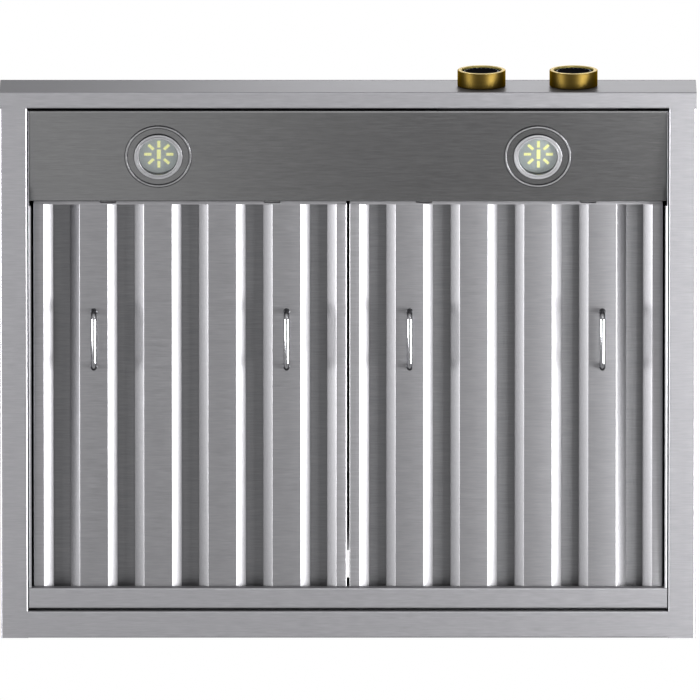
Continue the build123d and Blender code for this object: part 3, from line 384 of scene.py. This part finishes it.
def finished(name, bm, material, body, nodes=(), smooth=40.0, matrix=None):
    """Turns a bmesh into a piece that rides on a body and may stand for CAD nodes"""
    if matrix is not None:
        bmesh.ops.transform(bm, matrix=matrix, verts=bm.verts)
    bmesh.ops.recalc_face_normals(bm, faces=bm.faces)
    mesh = bpy.data.meshes.new(name)
    bm.to_mesh(mesh)
    bm.free()
    mesh.polygons.foreach_set("use_smooth", [True] * len(mesh.polygons))
    mesh.set_sharp_from_angle(angle=radians(smooth))
    obj = bpy.data.objects.new(name, mesh)
    bpy.context.scene.collection.objects.link(obj)
    paint(obj, MATERIALS[material])
    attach(obj, body)
    if nodes:
        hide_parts(*nodes)


def rounded_path(points, radius, steps):
    """Polyline in a plane whose inner corners are arcs"""
    points = [Vector(p) for p in points]
    path = [points[0]]
    for before, corner, after in zip(points, points[1:], points[2:]):
        into, out = (corner - before).normalized(), (after - corner).normalized()
        turn = into.angle(out)
        reach = radius * tan(turn / 2)
        side = 1 if into.x * out.y - into.y * out.x > 0 else -1
        centre = corner - into * reach + Vector((-into.y, into.x)) * (radius * side)
        arm = corner - into * reach - centre
        for step in range(steps + 1):
            path.append(centre + arm @ Matrix.Rotation(-side * turn * step / steps, 2))
    path.append(points[-1])
    return path


def sheet(bm, points, thickness, start, end, along=1):
    """Folded sheet: the section's middle line across and up, pulled along Y (1) or X (0)"""
    path = rounded_path(points, FOLD_RADIUS, FOLD_STEPS)
    rows = []
    for far in (start, end):
        for side in (-0.5, 0.5):
            row = []
            for number, point in enumerate(path):
                before, after = path[max(number - 1, 0)], path[min(number + 1, len(path) - 1)]
                ahead = (after - before).normalized()
                spot = point + Vector((-ahead.y, ahead.x)) * (thickness * side)
                row.append(bm.verts.new((spot.x, far, spot.y) if along else (far, spot.x, spot.y)))
            rows.append(row)
    near_low, near_high, far_low, far_high = rows
    for a, b in ((near_low, far_low), (far_high, near_high), (near_high, near_low), (far_low, far_high)):
        for number in range(len(path) - 1):
            bm.faces.new((a[number], a[number + 1], b[number + 1], b[number]))
    for number in (0, -1):
        bm.faces.new((near_low[number], near_high[number], far_high[number], far_low[number]))


def lathe(bm, outline, segments=96):
    """Solid turned about Z from a closed outline of radius and height"""
    rings = []
    for number in range(segments):
        angle = 2 * pi * number / segments
        rings.append([bm.verts.new((r * cos(angle), r * sin(angle), z)) for r, z in outline])
    for number in range(segments):
        ring, following = rings[number], rings[(number + 1) % segments]
        for a in range(len(outline)):
            b = (a + 1) % len(outline)
            bm.faces.new((ring[a], following[a], following[b], ring[b]))
    bmesh.ops.remove_doubles(bm, verts=[v for ring in rings for v in ring], dist=TURNED_MERGE)


def lathe_into(bm, outline, matrix):
    """Adds a turned solid, placed by a matrix, to a bmesh that holds others"""
    piece = bmesh.new()
    lathe(piece, outline)
    bmesh.ops.transform(piece, matrix=matrix, verts=piece.verts)
    copy = bpy.data.meshes.new("turned")
    piece.to_mesh(copy)
    piece.free()
    bm.from_mesh(copy)
    bpy.data.meshes.remove(copy)


def eased(outline, size):
    """Closed outline whose corners, save those on the axis, are small curves"""
    result = []
    count = len(outline)
    points = [Vector(p) for p in outline]
    for number in range(count):
        before, corner, after = points[number - 1], points[number], points[(number + 1) % count]
        if corner.x == 0:
            result.append(corner)
            continue
        reach = min(size, (corner - before).length / 3, (after - corner).length / 3)
        first = corner + (before - corner).normalized() * reach
        last = corner + (after - corner).normalized() * reach
        for step in range(EASE_STEPS + 1):
            t = step / EASE_STEPS
            result.append(first * (1 - t) ** 2 + corner * 2 * t * (1 - t) + last * t ** 2)
    return result


def wire(bm, path, radius, sides=20, flare=1.0):
    """Round bar through a path in the plane X = 0, closed at both ends; its two feet may flare"""
    rings = []
    for number, point in enumerate(path):
        before, after = path[max(number - 1, 0)], path[min(number + 1, len(path) - 1)]
        along = (after - before).normalized()
        across = Vector((0, -along.z, along.y))
        grow = flare if number in (0, len(path) - 1) else 1.0
        ring = []
        for side in range(sides):
            angle = 2 * pi * side / sides
            offset = Vector((1, 0, 0)) * cos(angle) + across * sin(angle)
            ring.append(bm.verts.new(point + offset * radius * grow))
        rings.append(ring)
    for ring, following in zip(rings, rings[1:]):
        for side in range(sides):
            other = (side + 1) % sides
            bm.faces.new((ring[side], ring[other], following[other], following[side]))
    bm.faces.new(rings[0])
    bm.faces.new(rings[-1])


def loose_parts(node):
    """The vertices of each separate solid of a CAD node"""
    bm = bmesh.new()
    bm.from_mesh(NODES[node].data)
    bmesh.ops.remove_doubles(bm, verts=bm.verts, dist=CAD_MERGE)
    left, parts = dict.fromkeys(bm.verts), []
    while left:
        front, found = [left.popitem()[0]], []
        while front:
            vert = front.pop()
            found.append(vert.co.copy())
            for link in vert.link_edges:
                other = link.other_vert(vert)
                if other in left:
                    del left[other]
                    front.append(other)
        parts.append(found)
    bm.free()
    return parts


def spans(points, matrix):
    """Lowest and highest corner of points seen in a frame of their own"""
    inside = [matrix.inverted() @ p for p in points]
    return (Vector([min(p[axis] for p in inside) for axis in range(3)]),
            Vector([max(p[axis] for p in inside) for axis in range(3)]))


# Filters, drawn with the tilt axis as X axis, the face at height 0 and the front at minus Y
FRAME_SHEET = 0.8 * MM
FRAME_FOLD = 10.0 * MM
FRAME_RIM = 11.4 * MM
FRONT_LIP = 2.6 * MM
CATCH_PLACE = 90.0 * MM
CATCH_FREE = 8.6 * MM
CATCH_LIP = 0.8 * MM
BAFFLE_SHEET = 0.6 * MM
BAFFLE_FLAT = 30.8 * MM
BAFFLE_FLANK = 10.1 * MM
BAFFLE_LIP = 3.0 * MM
REAR_LEG = 8.0 * MM
FOLD_RADIUS = 0.8 * MM
FOLD_STEPS = 4
# How far a flat face's normal may point to the side
SIDEWAYS = 0.01


def filter_matrix(side):
    """A filter's own frame at rest, its slope measured on the front baffles' largest face"""
    pivot = Vector(JOINTS[f"filter_{side}_tilt"]["pos_m"])
    baffles = NODES[f"front_baffles_{side}"].data
    largest = max(baffles.polygons, key=lambda face: face.area * (abs(face.normal.x) < SIDEWAYS))
    slope = atan2(largest.normal.y, largest.normal.z)
    slope -= round(slope / pi) * pi
    return Matrix.Translation(pivot) @ Matrix.Rotation(-slope, 4, "X")


def make_filter(side):
    body = f"filter_{side}"
    matrix = filter_matrix(side)
    low, high = spans([v.co for v in NODES[f"filter_frame_{side}"].data.vertices], matrix)
    out = (high.x - low.x) / 2
    make_filter_frame(side, body, matrix, low, high)
    start, end = low.y + FRAME_SHEET, high.y - FRAME_SHEET
    half = BAFFLE_SHEET / 2
    bm = bmesh.new()
    for part in loose_parts(f"front_baffles_{side}"):
        a, b = spans(part, matrix)
        x = (a.x + b.x) / 2
        flat, tip = BAFFLE_FLAT / 2, half + BAFFLE_FLANK
        flank = flat + BAFFLE_FLANK
        right = [(flat, half), (flank, tip), (flank, tip + BAFFLE_LIP)]
        outline = [(x - px, pz) for px, pz in reversed(right)] + [(x + px, pz) for px, pz in right]
        sheet(bm, outline, BAFFLE_SHEET, start, end)
    # The front lip is cut back at the two spring catches
    stops = [-out + FRAME_SHEET, -CATCH_PLACE - CATCH_FREE, CATCH_FREE - CATCH_PLACE]
    stops += [-stop for stop in reversed(stops)]
    for number, (near, far) in enumerate(zip(stops, stops[1:])):
        reach = CATCH_LIP if number % 2 else FRONT_LIP
        sheet(bm, [(low.y - reach, half), (low.y, half)], BAFFLE_SHEET, near, far, along=0)
    finished(f"baffles_facing_{side}", bm, "filter_steel", body, [f"front_baffles_{side}"],
             matrix=matrix)
    bm = bmesh.new()
    for part in loose_parts(f"rear_baffles_{side}"):
        a, b = spans(part, matrix)
        left, right = a.x + half, b.x - half
        web = b.z - half
        outline = [(left, web - REAR_LEG), (left, web), (right, web), (right, web - REAR_LEG)]
        sheet(bm, outline, BAFFLE_SHEET, start, end)
    # The rear baffles' dark finish is painted shade in the recesses
    finished(f"baffles_behind_{side}", bm, "baffle_steel_painted_shade", body, [f"rear_baffles_{side}"],
             matrix=matrix)


def make_filter_frame(side, body, matrix, low, high):
    """Channel frame with half a baffle along each side"""
    out, top = (high.x - low.x) / 2, high.z
    half = FRAME_SHEET / 2
    rim = out - FRAME_RIM
    outline = [(out - FRAME_FOLD, top - half), (out - half, top - half), (out - half, half), (rim, half),
               (rim - BAFFLE_FLANK, half + BAFFLE_FLANK), (rim - BAFFLE_FLANK, half + BAFFLE_FLANK + BAFFLE_LIP)]
    bm = bmesh.new()
    sheet(bm, outline, FRAME_SHEET, low.y, high.y)
    sheet(bm, [(-x, z) for x, z in outline], FRAME_SHEET, low.y, high.y)
    inner = out - FRAME_SHEET
    for web, fold in ((low.y + half, FRAME_FOLD), (high.y - half, -FRAME_FOLD)):
        sheet(bm, [(web, 0), (web, top - half), (web + fold, top - half)], FRAME_SHEET, -inner, inner, along=0)
    # The frame gets the lighter steel: painted light
    finished(f"frame_of_filter_{side}", bm, "frame_steel_painted_light", body, [f"filter_frame_{side}"],
             matrix=matrix)


# Handles
HANDLE_R = 3.0 * MM
HANDLE_BEND = 7.0 * MM
HANDLE_STEPS = 8
FOOT = HANDLE_R / 4
FOOT_FLARE = 1.25


def make_handles(side):
    """Bent wires on the outer baffles"""
    matrix = filter_matrix(side)
    bm = bmesh.new()
    for part in loose_parts(f"filter_handles_{side}"):
        a, b = spans(part, matrix)
        x, front, rear = (a.x + b.x) / 2, a.y + HANDLE_R, b.y - HANDLE_R
        bar = a.z + HANDLE_R
        outline = [(front, 0), (front, bar), (rear, bar), (rear, 0)]
        path = [Vector((x, y, z)) for y, z in rounded_path(outline, HANDLE_BEND, HANDLE_STEPS)]
        path.insert(1, path[0] + Vector((0, 0, -FOOT)))
        path.insert(-1, path[-1] + Vector((0, 0, -FOOT)))
        wire(bm, path, HANDLE_R, flare=FOOT_FLARE)
    finished(f"handles_{side}", bm, "handle_chrome", f"filter_{side}", [f"filter_handles_{side}"],
             smooth=60.0, matrix=matrix)


# Ground welds that close the rim's corners
WELD_HEIGHT = 2.0 * MM
WELD_WIDTH = 2.1 * MM
WELD_LAP = 0.16 * MM
FRONT_WELD_Y = -592.0 * MM + WELD_LAP
REAR_WELD_Y = -29.9 * MM
OPENING_X = 351.0 * MM
RIM_X = 379.6 * MM


def make_welds():
    """Flush filling in the grooves between the front, side and rear flanges"""
    bm = bmesh.new()
    for side in (-1, 1):
        front = ((OPENING_X, RIM_X), (FRONT_WELD_Y - WELD_WIDTH, FRONT_WELD_Y))
        rear = ((OPENING_X - WELD_LAP, OPENING_X + WELD_WIDTH), (REAR_WELD_Y, 0))
        for (x0, x1), (y0, y1) in (front, rear):
            place = Matrix.Translation((side * (x0 + x1) / 2, (y0 + y1) / 2, LOW.z + WELD_HEIGHT / 2))
            bmesh.ops.create_cube(bm, size=1.0, matrix=place @ Matrix.Diagonal((x1 - x0, y1 - y0, WELD_HEIGHT, 1)))
    finished("ground_welds", bm, "brushed_steel", "hood", smooth=20.0)


# Knobs, drawn with Z out of the lip's face
KNOB_WALL = 4.0 * MM
KNOB_EASE = 0.7 * MM
KNOB_BASE = 0.4 * MM
KNOB_FLOOR = 6.0 * MM
KNOB_SEGMENTS = 128
HUB_R = 7.0 * MM
BORE_R = 4.5 * MM
LINER = 0.2 * MM
RIM_FACE = 0.1 * MM
FACE_RECESS = 1.8 * MM
FACE_THICKNESS = 2.5 * MM
FACE_GAP = 0.3 * MM
FACE_EASE = 0.4 * MM
STEM_R = 3.5 * MM
STEM_END = -28.0 * MM
TICKS = 24
TICK_WIDTH = 0.5 * MM
TICK_LENGTH = 1.8 * MM
TICK_PRINT = 0.03 * MM
TICK_INSET = 2.2 * MM
LONG_TICK = 1.6
TICKS_TO_LONG = 6


def knob_matrix(use):
    """A knob's own frame: its joint's place on the lip, with Z along the axis"""
    joint = JOINTS[f"{use}_knob_turn"]
    return Matrix.Translation(Vector(joint["pos_m"])) @ Matrix.Rotation(radians(90), 4, "X")


def make_knobs():
    faces, prints = bmesh.new(), bmesh.new()
    for use in ("fan", "light"):
        matrix = knob_matrix(use)
        low, high = spans([v.co for v in NODES[f"knob_ring_{use}"].data.vertices], matrix)
        outer, top, tail = high.x, high.z, low.z
        inner, crown = outer - KNOB_WALL, top - RIM_FACE
        outline = [(BORE_R, tail), (HUB_R, tail), (HUB_R, KNOB_BASE), (outer, KNOB_BASE), (outer, crown),
                   (inner, crown), (inner, KNOB_FLOOR), (BORE_R, KNOB_FLOOR)]
        bm = bmesh.new()
        lathe(bm, eased(outline, KNOB_EASE), KNOB_SEGMENTS)
        finished(f"ring_of_knob_{use}", bm, "gold", f"{use}_knob", [f"knob_ring_{use}"], matrix=matrix)
        # Painted highlights: lighter gold skins inside the wall and on its end stand in for the light they catch
        deep, under, mouth = top - 2 * FACE_RECESS, top - 1.5 * RIM_FACE, outer - KNOB_EASE
        for piece, finish, (r0, r1, z0, z1) in (("liner", "gold_painted_highlight", (inner - LINER, inner, deep, under)),
                                                ("rim", "rim_gold_painted_highlight", (inner - LINER, mouth, under, top))):
            bm = bmesh.new()
            lathe(bm, [(r0, z0), (r1, z0), (r1, z1), (r0, z1)], KNOB_SEGMENTS)
            finished(f"{piece}_of_knob_{use}", bm, finish, f"{use}_knob", matrix=matrix)
        add_knob_face(faces, prints, matrix, inner - FACE_GAP, top - FACE_RECESS)
    finished("glass_of_knobs", faces, "black_glass", "hood", ["knob_faces"])
    finished("marks_of_knobs", prints, "print", "hood", smooth=20.0)


def add_knob_face(faces, prints, matrix, radius, top):
    """Still face on its stem, with a scale of plain ticks"""
    under = top - FACE_THICKNESS
    outline = [(0, STEM_END), (STEM_R, STEM_END), (STEM_R, under), (radius, under), (radius, top), (0, top)]
    lathe_into(faces, eased(outline, FACE_EASE), matrix)
    for number in range(TICKS):
        turn = Matrix.Rotation(2 * pi * number / TICKS, 4, "Z")
        length = TICK_LENGTH * (1.0 if number % TICKS_TO_LONG else LONG_TICK)
        place = Matrix.Translation((0, radius - TICK_INSET - length / 2, top + TICK_PRINT / 2))
        size = Matrix.Diagonal((TICK_WIDTH, length, TICK_PRINT, 1))
        bmesh.ops.create_cube(prints, size=1.0, matrix=matrix @ turn @ place @ size)


# Lamps, drawn with Z into the hood, square to the light panel
LENS_R = 21.4 * MM
LENS_THICKNESS = 2.2 * MM
LENS_CROWN = 0.9 * MM
LENS_STEPS = 8
LENS_GAP = 0.1 * MM
BEZEL_R = 26.3 * MM
BEZEL_DROP = 2.2 * MM
BEZEL_SEAT = 0.6 * MM
BEZEL_EASE = 0.2 * MM
GROOVE_INNER = LENS_R + LENS_GAP + 1.9 * MM
GROOVE_OUTER = LENS_R + LENS_GAP + 2.3 * MM
GROOVE_DEPTH = 0.9 * MM
BARREL_R = 24.8 * MM
BARREL_WALL = 1.4 * MM
BARREL_HEIGHT = 9.0 * MM
BOARD_THICKNESS = 1.6 * MM
CHIP_SIZE = (3.1 * MM, 7.8 * MM, 0.8 * MM)
CHIP_RING_R = 12.0 * MM
CHIP_COUNT = 8
CHIP_EASE = 0.25 * MM
CENTRE_CHIP = (4.1 * MM, 11.2 * MM, 0.8 * MM)
CHIP_SHIFT = (0.6 * MM, 1.2 * MM)
# Rings pressed into the panel round a lamp: radius, half the width, and how far the ring stands out
BEADS = ((35.2 * MM, 0.9 * MM, 1.1 * MM),)
# The grooves are drawn in near-black steel: painted shade in the pressed steps
GROOVES = ((36.5 * MM, 0.45 * MM, 1.0 * MM), (33.9 * MM, 0.4 * MM, 1.0 * MM), (26.65 * MM, 0.35 * MM, 1.0 * MM))
RING_EASE = 0.3 * MM


def lamp_matrices():
    """Frames of the two lamps on the light panel's underside"""
    panel = NODES["light_panel"].data
    largest = max(panel.polygons, key=lambda face: face.area * (face.normal.z < -0.5))
    slope = atan2(largest.normal.y, -largest.normal.z)
    matrices = []
    for part in loose_parts("lamp_lenses"):
        turn = Matrix.Rotation(slope, 4, "X")
        centre = sum(part, Vector()) / len(part)
        matrices.append(Matrix.Translation(centre) @ turn @ Matrix.Translation((0, 0, LENS_THICKNESS / 2)))
    return matrices


def make_lamps():
    bezels, lenses, boards, chips, beads, grooves = (bmesh.new() for _ in range(6))
    for matrix in lamp_matrices():
        for bm, rings in ((beads, BEADS), (grooves, GROOVES)):
            for middle, half, drop in rings:
                near, far = middle - half, middle + half
                lathe_into(bm, eased([(near, 0), (near, -drop), (far, -drop), (far, 0)], RING_EASE), matrix)
        add_lamp_body(bezels, lenses, boards, matrix)
        level = BARREL_HEIGHT - CHIP_SIZE[2] / 2
        matrix = matrix @ Matrix.Translation((*CHIP_SHIFT, 0))
        add_chip(chips, matrix @ Matrix.Translation((0, 0, level)), CENTRE_CHIP)
        for number in range(CHIP_COUNT):
            turn = Matrix.Rotation(2 * pi * number / CHIP_COUNT, 4, "Z")
            add_chip(chips, matrix @ turn @ Matrix.Translation((0, CHIP_RING_R, level)), CHIP_SIZE)
    finished("rings_of_lamps", bezels, "chrome", "hood", ["lamp_bezels"])
    finished("glass_of_lamps", lenses, "lens", "hood", ["lamp_lenses"])
    # The boards glow with painted light from the chips
    finished("boards_of_lamps", boards, "lamp_board", "hood", ["lamp_boards"])
    finished("chips_of_lamps", chips, "chip", "hood")
    finished("beads_round_lamps", beads, "emboss_light", "hood")
    # The grooves round the lamps are near-black steel, painted shade
    finished("grooves_round_lamps", grooves, "groove_painted_shade", "hood")


def add_lamp_body(bezels, lenses, boards, matrix):
    """Stepped ring with its barrel, domed lens and the board behind them"""
    rim, barrel_inner = LENS_R + LENS_GAP, BARREL_R - BARREL_WALL
    groove = GROOVE_DEPTH - BEZEL_DROP
    outline = [(rim, -BEZEL_DROP), (GROOVE_INNER, -BEZEL_DROP), (GROOVE_INNER, groove), (GROOVE_OUTER, groove),
               (GROOVE_OUTER, -BEZEL_DROP), (BEZEL_R, -BEZEL_DROP), (BEZEL_R, 0), (BARREL_R, 0),
               (BARREL_R, BARREL_HEIGHT), (barrel_inner, BARREL_HEIGHT), (barrel_inner, BEZEL_SEAT),
               (rim - BEZEL_SEAT, BEZEL_SEAT), (rim - BEZEL_SEAT, LENS_GAP), (rim, LENS_GAP)]
    lathe_into(bezels, eased(outline, BEZEL_EASE), matrix)
    dome = [(LENS_R * step / LENS_STEPS, -LENS_THICKNESS + LENS_CROWN * (step / LENS_STEPS) ** 2)
            for step in range(LENS_STEPS + 1)]
    lathe_into(lenses, dome + [(LENS_R, 0), (0, 0)], matrix)
    back = BARREL_HEIGHT + BOARD_THICKNESS
    lathe_into(boards, [(0, BARREL_HEIGHT), (BARREL_R, BARREL_HEIGHT), (BARREL_R, back), (0, back)], matrix)


def add_chip(bm, matrix, size):
    """Small block with eased edges"""
    made = bmesh.ops.create_cube(bm, size=1.0, matrix=matrix @ Matrix.Diagonal((*size, 1)))
    edges = dict.fromkeys(edge for vert in made["verts"] for edge in vert.link_edges)
    bmesh.ops.bevel(bm, geom=list(edges), offset=CHIP_EASE, segments=2, affect="EDGES")


# Studio
FLOOR_Z = -3.0
FLOOR_SIDE = 60.0
FLOOR_GREY = (0.86, 0.86, 0.86)
FLOOR_GLOW = 0.85
AMBIENT = 0.7
# Card: place, width, depth, tone
REAR_CARD = ((0.16, 1.12, -2.1), 0.55, 1.1, 0.22)
FLAG_GAP = 2 * MM
# Softboxes: name, place, width, depth, power
LAMPS = (
    ("key", (0.78, -1.25, -1.46), 0.4, 0.4, 4.0),
    ("right_side", (1.31, -0.18, -0.88), 0.5, 1.2, 112.0),
    ("right_low", (0.95, -0.15, -1.20), 0.4, 1.0, 2.5),
    ("left_side", (-2.1, -0.32, -1.28), 0.6, 1.2, 96.0),
    ("left_low", (-1.05, -0.30, -1.20), 0.4, 1.0, 3.0),
    ("front_high", (0.45, -1.10, 2.00), 1.4, 0.5, 14.0),
    ("front_low", (0.2, -1.5, -1.1), 1.0, 0.5, 2.5),
)


def stage_rectangle(name, centre, width, depth, toward=None):
    """Staged rectangle that lies level, or looks toward a point"""
    bm = bmesh.new()
    bmesh.ops.create_grid(bm, x_segments=1, y_segments=1, size=0.5)
    mesh = bpy.data.meshes.new(name)
    bm.to_mesh(mesh)
    bm.free()
    obj = bpy.data.objects.new(name, mesh)
    bpy.context.scene.collection.objects.link(obj)
    obj.location = centre
    obj.scale = (width, depth, 1)
    if toward is not None:
        obj.rotation_mode = "QUATERNION"
        obj.rotation_quaternion = (Vector(toward) - Vector(centre)).to_track_quat("Z", "Y")
    return obj


def stage_tree(obj):
    """The node tree of a new material on a staged rectangle"""
    material = bpy.data.materials.new(obj.name)
    paint(obj, material)
    return Tree(material)


def background_share(tree):
    """1 for rays that should meet the plain background: from the camera, or off metal or glass"""
    path = tree.add("ShaderNodeLightPath").outputs
    share = tree.math("MAXIMUM", path["Is Camera Ray"], path["Is Glossy Ray"])
    return tree.math("MAXIMUM", share, path["Is Transmission Ray"])


def make_world():
    world = bpy.data.worlds.new("studio")
    bpy.context.scene.world = world
    tree = Tree(world)
    strength = tree.remap(background_share(tree), AMBIENT, 1.0)
    shader = tree.add("ShaderNodeBackground", {"Color": (1, 1, 1, 1), "Strength": strength})
    tree.end(shader.outputs[0], "ShaderNodeOutputWorld")


def make_floor():
    """Pale floor; from below it lets everything through"""
    tree = stage_tree(stage_rectangle("floor", (0, 0, FLOOR_Z), FLOOR_SIDE, FLOOR_SIDE))
    grain = shades(tree, tree.noise(tree.place(), scale=3.0, detail=4.0), FLOOR_GREY, spread=0.01)
    matt = tree.add("ShaderNodeBsdfDiffuse", {"Color": grain}).outputs[0]
    glow = tree.add("ShaderNodeEmission", {"Color": (1, 1, 1, 1), "Strength": 1.0}).outputs[0]
    share = tree.math("MULTIPLY", background_share(tree), FLOOR_GLOW)
    top = tree.add("ShaderNodeMixShader", {0: share, 1: matt, 2: glow}).outputs[0]
    clear = tree.add("ShaderNodeBsdfTransparent").outputs[0]
    under = tree.add("ShaderNodeNewGeometry").outputs["Backfacing"]
    tree.end(tree.add("ShaderNodeMixShader", {0: under, 1: top, 2: clear}).outputs[0])


def make_card(name, centre, width, depth, tone):
    """Grey card that only shows as a reflection"""
    card = stage_rectangle(name, centre, width, depth, toward=AIM)
    tree = stage_tree(card)
    tree.end(tree.add("ShaderNodeEmission", {"Color": (tone, tone, tone, 1), "Strength": 1.0}).outputs[0])
    card.visible_camera = card.visible_diffuse = card.visible_shadow = card.visible_transmission = False


def make_flag(name, lip):
    """Board beside a lip that shows nowhere, and only keeps the near softbox off the lip's outer face"""
    low, high = (Vector(corner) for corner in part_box(lip))
    centre = (low + high) / 2
    centre.x = high.x + FLAG_GAP
    size = high - low
    flag = stage_rectangle(name, centre, size.y, size.z - FLAG_GAP, toward=centre + Vector((1, 0, 0)))
    tree = stage_tree(flag)
    tree.end(tree.add("ShaderNodeBsdfDiffuse").outputs[0])
    flag.visible_camera = flag.visible_diffuse = flag.visible_glossy = flag.visible_transmission = False


def make_lamp(name, place, width, depth, power):
    """Softbox that looks at the hood's underside"""
    data = bpy.data.lights.new(name, "AREA")
    data.shape = "RECTANGLE"
    data.size, data.size_y, data.energy = width, depth, power
    lamp = bpy.data.objects.new(name, data)
    bpy.context.scene.collection.objects.link(lamp)
    lamp.location = place
    lamp.rotation_mode = "QUATERNION"
    lamp.rotation_quaternion = (lamp.location - AIM).to_track_quat("Z", "Y")
    lamp.visible_camera = False


def make_studio():
    make_world()
    make_floor()
    make_card("rear_card", *REAR_CARD)
    make_flag("right_flag", "side_lip_right")
    for name, place, width, depth, power in LAMPS:
        make_lamp(name, place, width, depth, power)


scene = bpy.context.scene
scene.view_settings.view_transform = "Standard"
make_camera()
MATERIALS = make_materials()
paint_nodes()
for which in ("left", "right"):
    make_filter(which)
    make_handles(which)
make_welds()
make_knobs()
make_lamps()
make_studio()
